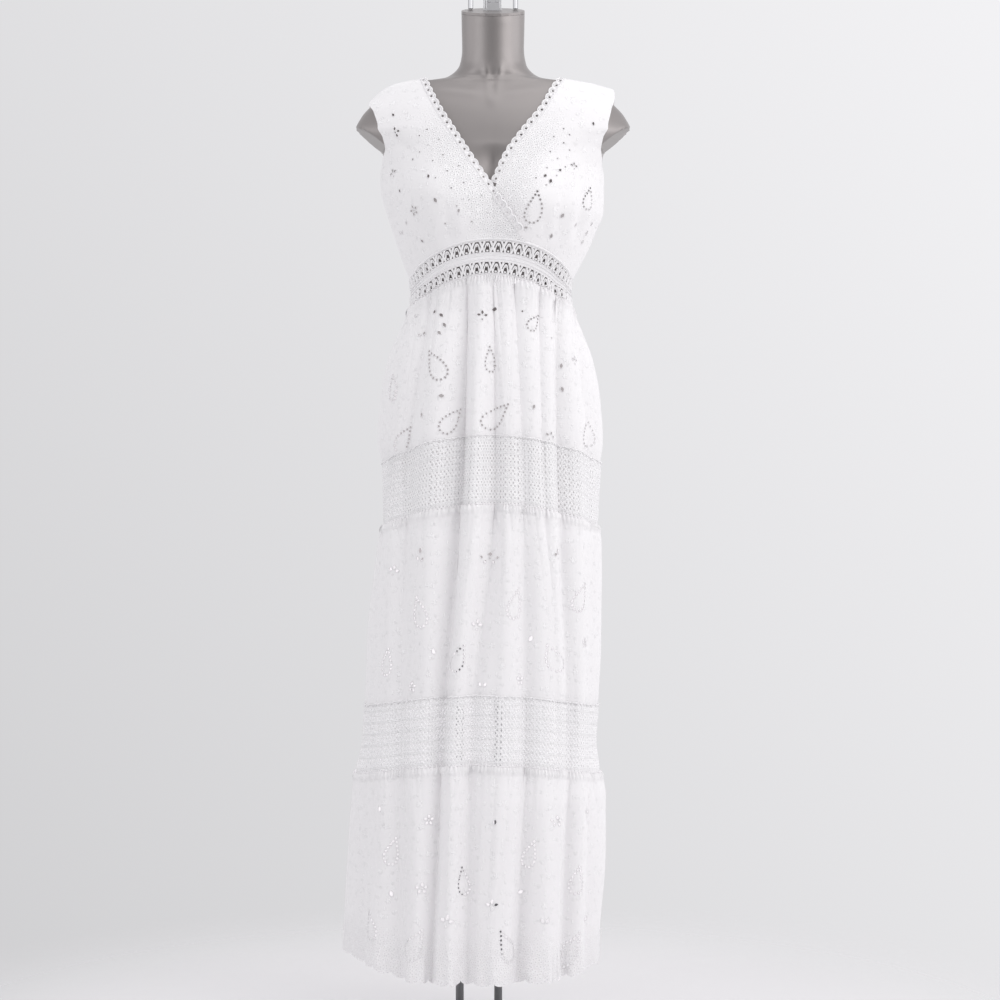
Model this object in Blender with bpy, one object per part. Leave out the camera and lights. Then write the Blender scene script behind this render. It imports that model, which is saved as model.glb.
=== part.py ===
"""White maxi dress of eyelet-embroidered cotton, worn by a limbless dress form.

Metres, +Z up. The front faces -Y, and the wearer's right is at -X. The origin is at the
middle of the base plate's underside, halfway between the two posts.

Every cloth piece is a wall laid on a surface that its sizes give: the skirt on horizontal
sections with folds, the bodice on the form's own sections, eased outwards.
"""

from collections import namedtuple
import math

import bmesh
import bpy
import numpy as np

# ---------------------------------------------------------------- driving sizes

CLOTH = 0.0015              # thickness of every cloth wall
SEAM = 0.0003               # clear distance between two pieces that meet
STEP = 1e-4                 # small step for slopes, in each surface's own units
SEAM_TRIES = 5              # rounds of fitting a fold's angle and its seam's height together

FORM_X = 0.022              # the form's middle, to the left of the posts' middle
OPENING_PITCH = 0.0136      # waist lace: width of one repeat
OPENING_HALF = (0.0046, 0.0056)
BAND_ROWS = (0.0, 0.27, 0.50, 0.73, 1.0)        # shares of the waist lace's height
OPENING_ROWS = (1, 3)
SCALLOP_PITCH = 0.0138      # neck edging: length of one scallop
EDGING_WIDTH = 0.0105
EDGING_HOLE = 0.0024
EDGING_GAP = 0.0006         # clear distance from the panel
EDGING_TURN = 0.030         # within this of the shoulder seam its end turns into the seam
SCALLOP_DIP = 0.32          # depth of the dips between scallops, as a share of the width
OVER_EDGING_START = 0.05    # how far up the neck edges the edgings begin
UNDER_EDGING_START = 0.29
HEM_DROP = 0.010            # depth of a hem scallop

COLUMNS_A_FOLD = 3          # faces from the middle of one front fold to the next
BACK_COLUMNS = 32           # faces across the back half of a skirt ring

SIDE_SEAM_SHARE = 0.50      # share of a panel's side that is seam, below the armhole
BACK_SHOULDER_SHARE = 0.20  # share of the back's top that is each shoulder seam
LIFT_FADE = (math.radians(28), math.radians(55))    # where the over front settles back
FRONT_ROWS = 14             # faces up a bodice front
BACK_PANEL_COLUMNS = 20     # faces across the bodice back
FRONT_CROWDING = 1.45       # above 1, a bodice panel's rows lie closer towards the shoulder
BACK_CROWDING = 1.70
FORM_COLUMNS = 24
HEIGHTS_LOOKED_UP = 1600    # how finely a height is looked up on the bodice

CAP_THICK = 0.004
BRACKET = (0.030, 0.003, 0.026)
HANDLE_RADIUS = 0.004
HANDLE_HALF = 0.035
HANDLE_RISE = 1.635
HANDLE_TURNS = 12
HANDLE_BEHIND = 0.014
SHARP_ANGLE = math.radians(40)

POST_X = 0.030
POST_RADIUS = 0.00625
BASE_RADIUS = 0.180
BASE_THICK = 0.008

# Heights of the seams round the dress: at the sides and back, and how much higher
# the middle of the front is.
Seam = namedtuple("Seam", "side rise")
BAND_TOP = Seam(1.171, 0.052)
WAIST = Seam(1.123, 0.042)
LACE_1_TOP = Seam(0.884, 0.040)
LACE_1_FOOT = Seam(0.785, 0.034)
LACE_2_TOP = Seam(0.508, 0.025)
LACE_2_FOOT = Seam(0.402, 0.026)
HEM = Seam(0.116, 0.0)

# The dress without its folds, one row for each level.
Level = namedtuple("Level", "z left right front back")
DRESS = [
    Level(0.060, -0.211, 0.182, 0.176, 0.172),
    Level(0.160, -0.209, 0.188, 0.172, 0.170),
    Level(0.280, -0.203, 0.197, 0.165, 0.166),
    Level(0.366, -0.196, 0.195, 0.160, 0.162),
    Level(0.410, -0.190, 0.186, 0.154, 0.156),
    Level(0.452, -0.181, 0.180, 0.150, 0.152),
    Level(0.528, -0.176, 0.186, 0.147, 0.150),
    Level(0.605, -0.174, 0.190, 0.144, 0.148),
    Level(0.700, -0.164, 0.190, 0.139, 0.145),
    Level(0.760, -0.155, 0.188, 0.135, 0.142),
    Level(0.790, -0.148, 0.184, 0.131, 0.138),
    Level(0.875, -0.149, 0.188, 0.128, 0.138),
    Level(0.922, -0.157, 0.193, 0.129, 0.140),
    Level(0.984, -0.153, 0.189, 0.126, 0.135),
    Level(1.046, -0.141, 0.176, 0.119, 0.120),
    Level(1.090, -0.121, 0.158, 0.110, 0.106),
    Level(1.125, -0.106, 0.145, 0.104, 0.098),
    Level(1.160, -0.106, 0.143, 0.104, 0.097),
    Level(1.192, -0.116, 0.157, 0.110, 0.100),
    Level(1.217, -0.125, 0.170, 0.114, 0.103),
    Level(1.246, -0.134, 0.182, 0.117, 0.106),
    Level(1.276, -0.144, 0.194, 0.118, 0.109),
    Level(1.305, -0.152, 0.195, 0.115, 0.111),
    Level(1.335, -0.154, 0.195, 0.109, 0.112),
    Level(1.366, -0.164, 0.208, 0.102, 0.110),
    Level(1.385, -0.181, 0.225, 0.097, 0.105),
    Level(1.4000, -0.1970, 0.2410, 0.0915, 0.0995),
    Level(1.4275, -0.1865, 0.2305, 0.0835, 0.0905),
    Level(1.4469, -0.1671, 0.2111, 0.0755, 0.0825),
    Level(1.4619, -0.1531, 0.1971, 0.0672, 0.0760),
    Level(1.4728, -0.1372, 0.1812, 0.0605, 0.0690),
    Level(1.4788, -0.1142, 0.1582, 0.0565, 0.0640),
    Level(1.4810, -0.0860, 0.1300, 0.0545, 0.0605),
    Level(1.4856, -0.0575, 0.1015, 0.0530, 0.0570),
]

# The dress form, one row for each ring from the foot to the neck.
Ring = namedtuple("Ring", "z half front back")
FORM = [
    Ring(0.735, 0.116, 0.082, 0.084),
    Ring(0.800, 0.132, 0.088, 0.097),
    Ring(0.870, 0.143, 0.092, 0.108),
    Ring(0.940, 0.145, 0.094, 0.110),
    Ring(1.010, 0.134, 0.092, 0.099),
    Ring(1.070, 0.117, 0.086, 0.086),
    Ring(1.125, 0.109, 0.084, 0.080),
    Ring(1.180, 0.116, 0.090, 0.083),
    Ring(1.235, 0.132, 0.099, 0.092),
    Ring(1.290, 0.148, 0.100, 0.099),
    Ring(1.335, 0.158, 0.096, 0.103),
    Ring(1.366, 0.168, 0.093, 0.102),
    Ring(1.376, 0.189, 0.091, 0.100),
    Ring(1.400, 0.216, 0.086, 0.094),
    Ring(1.425, 0.205, 0.079, 0.086),
    Ring(1.445, 0.187, 0.071, 0.078),
    Ring(1.4600, 0.1735, 0.062, 0.066),
    Ring(1.4700, 0.1580, 0.055, 0.058),
    Ring(1.4765, 0.1360, 0.050, 0.052),
    Ring(1.4795, 0.1080, 0.049, 0.050),
    Ring(1.4840, 0.0790, 0.048, 0.050),
    Ring(1.4920, 0.0630, 0.049, 0.051),
    Ring(1.5060, 0.0520, 0.048, 0.049),
    Ring(1.5300, 0.0482, 0.047, 0.048),
    Ring(1.5600, 0.0488, 0.047, 0.048),
    Ring(1.5850, 0.0492, 0.047, 0.048),
]
NECK_LEAN = 0.010           # how far the top of the neck comes forward
NECK_FOOT_Z = 1.47
CAP_TILT = math.radians(17)
ARM_CUT = (0.175, 1.374)    # a point of the flat cut face, from the form's middle
ARM_CUT_SLOPE = 0.034 / 0.028

BUST_X = 0.083              # from the form's middle
BUST_Z = 1.282
BUST_WIDTH = 0.047
BUST_HEIGHT = 0.046
FORM_BUST = 0.024
DRESS_BUST = 0.027

LEVEL_BELOW, FREE_ABOVE = 1.285, 1.400  # where the cloth's thickness stops being level
ARMHOLE_FADE = 1.8          # how fast the back's rows forget the armholes towards its middle
OVERLAP = 0.0048            # how far the over front stands out past the under front

# Edges of the bodice, by height: distance from the form's middle.
Edge = namedtuple("Edge", "z x")
OVER_EDGE = [
    Edge(1.2180, 0.0500), Edge(1.2350, 0.0360), Edge(1.2685, 0.0125), Edge(1.3040, -0.0125),
    Edge(1.3350, -0.0330), Edge(1.3800, -0.0615), Edge(1.4290, -0.0905), Edge(1.4600, -0.1050),
    Edge(1.4806, -0.1130),
]
UNDER_EDGE = [
    Edge(1.2180, -0.0500), Edge(1.2350, -0.0360), Edge(1.2685, -0.0125), Edge(1.3040, 0.0050),
    Edge(1.3137, 0.0095), Edge(1.3500, 0.0258), Edge(1.3900, 0.0535), Edge(1.4280, 0.0825),
    Edge(1.4600, 0.0990), Edge(1.4806, 0.1130),
]
NECK_SIDE = 0.1130          # from the form's middle to the neck end of the shoulder seam
SHOULDER_END = 0.1890       # and to its outer end
BACK_NECK_DEPTH = 0.042     # the back neckline's drop below the shoulder seam
ARMHOLE_FOOT = 1.330        # height of the underarm point
SHOULDER_TIP = 1.443
# Armhole edge on the front and on the back: angle from the side, in degrees, at each share
# of the height from the underarm point to the shoulder seam.
Armhole = namedtuple("Armhole", "share front back")
ARMHOLE = [
    Armhole(0.00, 0.0, 0.0), Armhole(0.07, 10.0, 9.0), Armhole(0.19, 19.0, 16.0),
    Armhole(0.36, 29.0, 24.0), Armhole(0.60, 36.0, 30.0), Armhole(0.82, 28.0, 24.0),
    Armhole(1.00, 0.0, 0.0),
]

# Folds of the front: distance across from the posts' middle at the waist, at the two lace
# bands and at the hem, width towards each side, and how far out (+) or in (-) at each height.
Fold = namedtuple(
    "Fold",
    "x_waist x_lace_1 x_lace_2 x_hem to_right to_left out_waist out_lace_1 out_lace_2 out_hem",
)
FOLD_HEIGHTS = (1.165, 0.870, 0.480, 0.116)
FOLDS = [
    Fold(-0.100, -0.140, -0.162, -0.182, 0.010, 0.012, -0.002, -0.003, -0.005, -0.012),
    Fold(-0.088, -0.128, -0.142, -0.154, 0.010, 0.010, 0.002, 0.004, 0.006, 0.012),
    Fold(-0.072, -0.110, -0.116, -0.122, 0.010, 0.009, -0.004, -0.009, -0.010, -0.018),
    Fold(-0.044, -0.072, -0.082, -0.086, 0.015, 0.013, 0.003, 0.008, 0.009, 0.016),
    Fold(-0.017, -0.029, -0.050, -0.066, 0.011, 0.007, -0.011, -0.021, -0.024, -0.034),
    Fold(0.004, -0.005, -0.033, -0.043, 0.009, 0.010, 0.004, 0.012, 0.015, 0.018),
    Fold(0.022, 0.022, -0.011, -0.019, 0.008, 0.007, -0.007, -0.016, -0.020, -0.030),
    Fold(0.041, 0.044, 0.034, 0.020, 0.008, 0.015, 0.003, 0.006, 0.013, 0.014),
    Fold(0.056, 0.068, 0.071, 0.060, 0.008, 0.009, -0.008, -0.008, -0.017, -0.032),
    Fold(0.075, 0.082, 0.100, 0.097, 0.011, 0.014, 0.005, 0.008, 0.010, 0.022),
    Fold(0.092, 0.097, 0.117, 0.113, 0.005, 0.005, -0.006, -0.004, -0.002, -0.002),
    Fold(0.105, 0.108, 0.124, 0.120, 0.008, 0.006, 0.004, 0.004, 0.003, 0.004),
    Fold(0.118, 0.124, 0.137, 0.130, 0.006, 0.007, -0.006, -0.011, -0.014, -0.024),
    Fold(0.128, 0.148, 0.154, 0.148, 0.009, 0.009, 0.003, 0.005, 0.006, 0.014),
    Fold(0.137, 0.170, 0.170, 0.166, 0.007, 0.007, -0.002, -0.004, -0.005, -0.012),
]
# Waves of the back: how many round the whole ring, their shift, and their share of the depth.
Wave = namedtuple("Wave", "count shift share")
BACK_WAVES = [Wave(16, 0.4, 0.62), Wave(11, 1.9, 0.38)]
BACK_DEPTHS = (0.005, 0.009, 0.012, 0.019)      # at FOLD_HEIGHTS
FRONT_COLUMNS = COLUMNS_A_FOLD * (len(FOLDS) + 1)
RING_COLUMNS = FRONT_COLUMNS + BACK_COLUMNS

# Leaf-shaped eyelets cut through the cloth: middle, half length, half width and tilt from
# upright, in degrees. x is from the form's middle.
Leaf = namedtuple("Leaf", "x z length width tilt")
RIGHT_FRONT_LEAVES = [
    Leaf(-0.078, 1.298, 0.0050, 0.0030, -35), Leaf(-0.107, 1.292, 0.0048, 0.0028, 30),
    Leaf(-0.092, 1.332, 0.0044, 0.0026, 10), Leaf(-0.048, 1.270, 0.0042, 0.0026, 50),
    Leaf(-0.128, 1.345, 0.0044, 0.0026, -20), Leaf(-0.088, 1.262, 0.0044, 0.0026, 15),
]
LEFT_FRONT_LEAVES = [
    Leaf(0.086, 1.331, 0.0048, 0.0024, 0), Leaf(0.111, 1.273, 0.0050, 0.0028, 25),
    Leaf(0.094, 1.243, 0.0046, 0.0026, -30), Leaf(0.138, 1.268, 0.0042, 0.0026, 20),
    Leaf(0.118, 1.318, 0.0042, 0.0026, -15),
]
BACK_LEAVES = [
    Leaf(-0.100, 1.230, 0.0048, 0.0028, 20), Leaf(-0.055, 1.290, 0.0048, 0.0028, -20),
    Leaf(0.000, 1.250, 0.0048, 0.0028, 0), Leaf(0.055, 1.300, 0.0048, 0.0028, 25),
    Leaf(0.100, 1.235, 0.0048, 0.0028, -25), Leaf(-0.110, 1.340, 0.0044, 0.0026, 10),
    Leaf(0.000, 1.350, 0.0048, 0.0028, 90), Leaf(0.110, 1.345, 0.0044, 0.0026, -10),
]
TIER_LEAVES = [
    Leaf(-0.078, 1.112, 0.0050, 0.0030, 10), Leaf(-0.081, 1.082, 0.0050, 0.0030, -30),
    Leaf(-0.083, 0.985, 0.0048, 0.0030, 0), Leaf(-0.109, 0.958, 0.0044, 0.0028, 30),
    Leaf(-0.024, 1.095, 0.0044, 0.0028, 20), Leaf(0.049, 1.050, 0.0044, 0.0028, -20),
    Leaf(0.101, 1.035, 0.0048, 0.0030, 15), Leaf(0.105, 0.995, 0.0048, 0.0030, -15),
    Leaf(0.064, 0.968, 0.0046, 0.0028, 35), Leaf(0.020, 0.990, 0.0044, 0.0028, 0),
]

# Finishes: base colour, metallic and roughness.
Finish = namedtuple("Finish", "colour metallic roughness")
WHITE_COTTON = Finish((0.90, 0.89, 0.91), 0.0, 0.85)
SILVER_PAINT = Finish((0.42, 0.40, 0.39), 0.6, 0.32)
STEEL = Finish((0.62, 0.62, 0.63), 1.0, 0.25)
DARK_METAL = Finish((0.10, 0.10, 0.11), 0.6, 0.45)


# ---------------------------------------------------------------- curves through tables

def column(rows, name):
    """One named column of a table."""
    return np.array([getattr(row, name) for row in rows])


def smooth(places, values, at):
    """Values at given places on a smooth curve through a table, with no overshoot."""
    places, values = np.asarray(places, float), np.asarray(values, float)
    steps = np.diff(places)
    rises = np.diff(values) / steps
    slopes = np.zeros(len(places))
    same_way = rises[:-1] * rises[1:] > 0
    pair = rises[:-1] + rises[1:]
    slopes[1:-1] = np.where(same_way, 2 * rises[:-1] * rises[1:] / np.where(same_way, pair, 1), 0)
    slopes[0], slopes[-1] = rises[0], rises[-1]
    at = np.clip(at, places[0], places[-1])
    i = np.clip(np.searchsorted(places, at, side="right") - 1, 0, len(steps) - 1)
    t = (at - places[i]) / steps[i]
    return (
        (1 + 2 * t) * (1 - t) ** 2 * values[i]
        + t * (1 - t) ** 2 * steps[i] * slopes[i]
        + t * t * (3 - 2 * t) * values[i + 1]
        + t * t * (t - 1) * steps[i] * slopes[i + 1]
    )


def ramp(low, high, at):
    """0 below low, 1 above high, and smooth between."""
    t = np.clip((at - low) / (high - low), 0, 1)
    return t * t * (3 - 2 * t)


def unit(vectors):
    """Vectors of length 1."""
    return vectors / np.maximum(np.linalg.norm(vectors, axis=-1, keepdims=True), 1e-12)


# ---------------------------------------------------------------- surfaces

def seam_height(seam, angle):
    """Height of a seam at an angle round the dress, 0 at the front."""
    return seam.side + seam.rise * np.maximum(np.cos(angle), 0) ** 2


def bust(x, z, front_share, size):
    """How far the front is pushed out, by two mounds of a general figure."""
    across = (np.abs(x - FORM_X) - BUST_X) / BUST_WIDTH
    up = (z - BUST_Z) / BUST_HEIGHT
    return size * np.exp(-0.5 * (across**2 + up**2)) * np.clip(front_share * 2, 0, 1)


def dress_size(name, z):
    """A size of the dress without its folds, at a height."""
    return smooth(column(DRESS, "z"), column(DRESS, name), z)


def plain_section(angle, z):
    """The dress without folds: points, and the outward directions of the section."""
    left, right, front, back = (dress_size(name, z) for name in ("left", "right", "front", "back"))
    half = (right - left) / 2
    sine, cosine = np.sin(angle), np.cos(angle)
    depth = np.where(cosine > 0, front, back)
    x = (left + right) / 2 + half * sine
    y = -depth * cosine - bust(x, z, cosine, DRESS_BUST)
    out = np.stack([sine / half, -cosine / depth], axis=-1)
    return np.stack([x, y, z + 0 * x], axis=-1), unit(out)


def fold_depth(x, angle, z):
    """How far the folds move the skirt out at a place."""
    heights = FOLD_HEIGHTS[::-1]
    at_front = np.zeros_like(x)
    for fold in FOLDS:
        middle = smooth(heights, (fold.x_hem, fold.x_lace_2, fold.x_lace_1, fold.x_waist), z)
        out = smooth(heights, (fold.out_hem, fold.out_lace_2, fold.out_lace_1, fold.out_waist), z)
        width = np.where(x < middle, fold.to_right, fold.to_left)
        at_front += out * np.exp(-0.5 * ((x - middle) / width) ** 2)
    at_back = np.zeros_like(x)
    for wave in BACK_WAVES:
        at_back += wave.share * np.cos(wave.count * angle + wave.shift + 0.6 * np.sin(4 * z))
    at_back *= smooth(heights, BACK_DEPTHS[::-1], z)
    side_fade = ramp(0.0, 0.35, np.abs(np.cos(angle)))
    return np.where(np.cos(angle) > 0, at_front, at_back) * side_fade


def fold_middles(z):
    """Angles of the front folds' middles at given heights, with the side seams at the ends."""
    heights = FOLD_HEIGHTS[::-1]
    left, right = dress_size("left", z), dress_size("right", z)
    angles = [np.full_like(z, -math.pi / 2)]
    for fold in FOLDS:
        x = smooth(heights, (fold.x_hem, fold.x_lace_2, fold.x_lace_1, fold.x_waist), z)
        angles.append(np.arcsin(np.clip((2 * x - left - right) / (right - left), -1, 1)))
    angles.append(np.full_like(z, math.pi / 2))
    return np.stack(angles)


def front_angle(u, z):
    """Angle of a place from 0 to 1 across the front, along lines that run with the folds."""
    middles = fold_middles(z)
    at = np.clip(u, 0, 1) * (len(FOLDS) + 1)
    fold = np.minimum(at.astype(int), len(FOLDS))
    each = np.arange(len(z))
    return middles[fold, each] + (middles[fold + 1, each] - middles[fold, each]) * (at - fold)


def back_angle(u, z):
    """Angle of a place from 0 to 1 across the back."""
    return math.pi / 2 + u * math.pi


def ring_angle(u, z):
    """Angle of a place from 0 to 1 along a whole ring: the front, and then the back."""
    front_share = FRONT_COLUMNS / RING_COLUMNS
    front = front_angle(u / front_share, z)
    back = back_angle((u - front_share) / (1 - front_share), z)
    return np.where(u < front_share, front, back)


def skirt_surface(angle, z):
    """The skirt with its folds."""
    points, out = plain_section(angle, z)
    push = fold_depth(points[..., 0], angle, z) * (1 - ramp(1.150, 1.175, z))
    points[..., :2] += out * push[..., None]
    return points


def form_surface(angle, place):
    """The dress form, by angle and by place among its rings."""
    z, half, front, back = (
        smooth(np.arange(len(FORM)), column(FORM, name), place)
        for name in ("z", "half", "front", "back")
    )
    sine, cosine = np.sin(angle), np.cos(angle)
    x = half * sine
    cut = ARM_CUT[0] + np.maximum(z - ARM_CUT[1], 0) * ARM_CUT_SLOPE
    x = np.where((z >= ARM_CUT[1]) & (np.abs(x) > cut), np.sign(x) * cut, x) + FORM_X
    y = -np.where(cosine > 0, front, back) * cosine - bust(x, z, cosine, FORM_BUST)
    y -= NECK_LEAN * ramp(NECK_FOOT_Z, FORM[-1].z, z)
    z = z - ramp(1.55, FORM[-1].z, z) * np.tan(CAP_TILT) * (-y - NECK_LEAN)
    return np.stack([x, y, z], axis=-1)


def slope_across(surface, a, b):
    """Outward unit direction of a surface at its own places (a, b)."""
    across = surface(a + STEP, b) - surface(a - STEP, b)
    up = surface(a, b + STEP) - surface(a, b - STEP)
    return unit(np.cross(across, up))


def level_below(out, z):
    """An outward direction, made level low on the body, so that seams keep their heights."""
    return unit(out * np.stack([0 * z + 1, 0 * z + 1, ramp(LEVEL_BELOW, FREE_ABOVE, z)], axis=-1))


# ---------------------------------------------------------------- walls of cloth

def flat_grid(columns, rows):
    """A flat grid from 0 to 1 both ways."""
    bm = bmesh.new()
    bmesh.ops.create_grid(bm, x_segments=columns, y_segments=rows, size=0.5)
    for vert in bm.verts:
        vert.co.x += 0.5
        vert.co.y += 0.5
    return bm


def wall_of(bm, surface, closed=False, shift=0.0):
    """Give a flat cut pattern its thickness and lay it on a surface of (u, v)."""
    layer = bmesh.ops.extrude_face_region(bm, geom=bm.faces[:], use_keep_orig=True)
    for item in layer["geom"]:
        if isinstance(item, bmesh.types.BMVert):
            item.co.z = 1
    if closed:
        ends = [
            face for face in bm.faces
            if max(v.co.x for v in face.verts) < 1e-5 or min(v.co.x for v in face.verts) > 1 - 1e-5
        ]
        bmesh.ops.delete(bm, geom=ends, context="FACES")
    verts = bm.verts[:]
    u, v, side = (np.array([vert.co[i] for vert in verts]) for i in range(3))
    points, out = surface(u, v)
    points = points + out * (CLOTH * (side - 0.5))[:, None] + (0, shift, 0)
    for vert, point in zip(verts, points):
        vert.co = point
    if closed:
        bmesh.ops.remove_doubles(bm, verts=bm.verts[:], dist=1e-6)
    face_out(bm)
    return bm


def face_out(bm):
    """Turn every face of a closed body outwards."""
    bmesh.ops.recalc_face_normals(bm, faces=bm.faces[:])
    if bm.calc_volume(signed=True) < 0:
        bmesh.ops.reverse_faces(bm, faces=bm.faces[:])


def cut_diamond(bm, vert, half_width, half_height, across, up):
    """Open a four-pointed hole at a grid point of a pattern of the given real size."""
    centre = vert.co.copy()
    reach = min(edge.calc_length() for edge in vert.link_edges) * 0.4
    ring = bmesh.ops.bevel(
        bm, geom=[vert], offset=reach, offset_type="OFFSET", affect="VERTICES",
        segments=1, profile=0.5, material=-1,
    )
    corners = set(ring["verts"])
    filled = [face for face in ring["faces"] if corners.issuperset(face.verts)]
    bmesh.ops.delete(bm, geom=filled, context="FACES")
    for corner in corners:
        away = corner.co - centre
        if abs(away.x) > abs(away.y):
            corner.co.x = centre.x + math.copysign(half_width / across, away.x)
        else:
            corner.co.y = centre.y + math.copysign(half_height / up, away.y)


def cut_leaf(bm, leaf, seen):
    """Open a pointed leaf inside the pattern's face that holds the leaf's middle.

    seen gives the place across and up, as the wearer faces, for a place (u, v).
    """
    target = np.array([leaf.x, leaf.z])
    middles = np.array([face.calc_center_median()[:2] for face in bm.faces])
    face = bm.faces[int(np.argmin(np.linalg.norm(seen(*middles.T) - target, axis=1)))]
    u, v = face.calc_center_median()[:2]
    low, high = (np.array([pick(vert.co[i] for vert in face.verts) for i in (0, 1)])
                 for pick in (min, max))
    for _ in range(3):
        across = (seen(u + STEP, v) - seen(u - STEP, v))[0] / (2 * STEP)
        up = (seen(u, v + STEP) - seen(u, v - STEP))[0] / (2 * STEP)
        to_pattern = np.linalg.inv(np.stack([across, up], axis=1))
        u, v = np.clip((u, v) + to_pattern @ (target - seen(u, v)[0]), low, high)
    turn = math.radians(leaf.tilt)
    along = leaf.length * np.array([math.sin(turn), math.cos(turn)])
    beside = leaf.width * np.array([math.cos(turn), -math.sin(turn)])
    points = [to_pattern @ step for step in (along, beside, -along, -beside)]
    reach = np.abs(points).max(axis=0)
    middle = np.clip((u, v), low + reach * 1.1, high - reach * 1.1)
    bmesh.ops.inset_individual(bm, faces=[face], thickness=min(high - low) * 0.2)
    corners = list(face.verts)
    if face.normal.z * np.cross(points[0], points[1]) < 0:
        points.reverse()
    size = high - low

    def spread(turn):
        ends = zip(corners, points[turn:] + points[:turn])
        return sum(np.hypot(*((vert.co[:2] - middle - point) / size)) for vert, point in ends)

    turn = min(range(len(points)), key=spread)
    for vert, point in zip(corners, points[turn:] + points[:turn]):
        vert.co.x, vert.co.y = middle + point
    bmesh.ops.delete(bm, geom=[face], context="FACES")
    bm.faces.ensure_lookup_table()


def cut_leaves(bm, surface, leaves):
    """Cut leaf eyelets through a panel's flat pattern, at their places on its surface."""
    def seen(u, v):
        points, _ = surface(np.atleast_1d(u), np.atleast_1d(v))
        return points[:, [0, 2]] - (FORM_X, 0)

    for leaf in leaves:
        bm.faces.ensure_lookup_table()
        cut_leaf(bm, leaf, seen)


# ---------------------------------------------------------------- the skirt

def skirt_piece(angle_of, top, foot, scalloped=False):
    """Surface of (u, v) for a skirt piece from its foot seam, v = 0, to its top seam, v = 1."""
    def surface(u, v):
        seam_z = np.full_like(u, (top.side + foot.side + foot.rise) / 2)
        angle = angle_of(u, seam_z)
        for _ in range(SEAM_TRIES):
            high = seam_height(top, angle) - SEAM
            low = seam_height(foot, angle)
            z = low + (high - low) * v
            angle = angle_of(u, z)
        if scalloped:
            drop = HEM_DROP * np.abs(np.sin(u * RING_COLUMNS * math.pi / 4))
            z = z - drop * np.clip(1 - 3 * v, 0, 1)
        points = skirt_surface(angle, z)
        across = skirt_surface(angle + STEP, z) - skirt_surface(angle - STEP, z)
        out = np.stack([across[:, 1], -across[:, 0], 0 * z], axis=-1)
        return points, unit(out)

    return surface


def tier(name, angle_of, columns, rows, top, foot, leaves=(), shift=0.0, scalloped=False):
    """One ring of the skirt, or one half ring, moved back by its share of the side seam's gap."""
    surface = skirt_piece(angle_of, top, foot, scalloped)
    bm = flat_grid(columns, rows)
    if leaves:
        cut_leaves(bm, surface, leaves)
    wall_of(bm, surface, closed=angle_of is ring_angle, shift=shift)
    return place(name, bm, WHITE_COTTON)


def make_skirt():
    back_leaves = [leaf._replace(x=-leaf.x) for leaf in TIER_LEAVES]
    tier("tier_1_front", front_angle, FRONT_COLUMNS, 4, WAIST, LACE_1_TOP,
         leaves=TIER_LEAVES, shift=-SEAM / 2)
    tier("tier_1_back", back_angle, BACK_COLUMNS, 4, WAIST, LACE_1_TOP,
         leaves=back_leaves, shift=SEAM / 2)
    tier("lace_band_1", ring_angle, RING_COLUMNS, 1, LACE_1_TOP, LACE_1_FOOT)
    tier("tier_2", ring_angle, RING_COLUMNS, 3, LACE_1_FOOT, LACE_2_TOP)
    tier("lace_band_2", ring_angle, RING_COLUMNS, 1, LACE_2_TOP, LACE_2_FOOT)
    tier("tier_3", ring_angle, RING_COLUMNS, 3, LACE_2_FOOT, HEM, scalloped=True)


# ---------------------------------------------------------------- the waist lace

def even_front(u, z):
    """Angle of a place across the front, evenly spaced."""
    return -math.pi / 2 + u * math.pi


def waist_band(name, angle_of, shift):
    """Half the waist lace: two rows of diamond openings between three solid borders."""
    surface = skirt_piece(angle_of, BAND_TOP, WAIST)
    line, _ = surface(np.linspace(0, 1, 60), np.full(60, 0.5))
    girth = float(np.linalg.norm(np.diff(line, axis=0), axis=1).sum())
    height = BAND_TOP.side + BAND_TOP.rise / 2 - WAIST.side - WAIST.rise / 2
    columns = 2 * round(girth / OPENING_PITCH)
    bm = flat_grid(columns, len(BAND_ROWS) - 1)
    for vert in bm.verts:
        vert.co.y = BAND_ROWS[round(vert.co.y * (len(BAND_ROWS) - 1))]
    middles = [
        vert for vert in bm.verts
        if round(vert.co.x * columns) % 2 == 1
        and min(abs(vert.co.y - BAND_ROWS[row]) for row in OPENING_ROWS) < STEP
    ]
    for vert in middles:
        cut_diamond(bm, vert, *OPENING_HALF, girth, height)
    wall_of(bm, surface, shift=shift)
    return place(name, bm, WHITE_COTTON)


# ---------------------------------------------------------------- the bodice

HEIGHTS = np.linspace(BAND_TOP.side - 0.05, DRESS[-1].z, HEIGHTS_LOOKED_UP)
HALVES = (dress_size("right", HEIGHTS) - dress_size("left", HEIGHTS)) / 2


def down_from_neck(sizes):
    """Distances along an outline of the bodice, from the neck down to each of HEIGHTS."""
    steps = np.hypot(np.diff(sizes), np.diff(HEIGHTS))
    return sizes[-1] + np.append(np.cumsum(steps[::-1])[::-1], 0)


# The bodice spread flat, as seen from above with its sides and middle at their full lengths.
SPREAD_SIDE = down_from_neck(HALVES)
SPREAD_MIDDLE = {name: down_from_neck(dress_size(name, HEIGHTS)) for name in ("front", "back")}


def spread(name, angle, z):
    """Place on the flat spread of a point at an angle from the middle of the front or back."""
    across = np.interp(z, HEIGHTS, SPREAD_SIDE) * np.sin(angle)
    return across, np.interp(z, HEIGHTS, SPREAD_MIDDLE[name]) * np.cos(angle)


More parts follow.
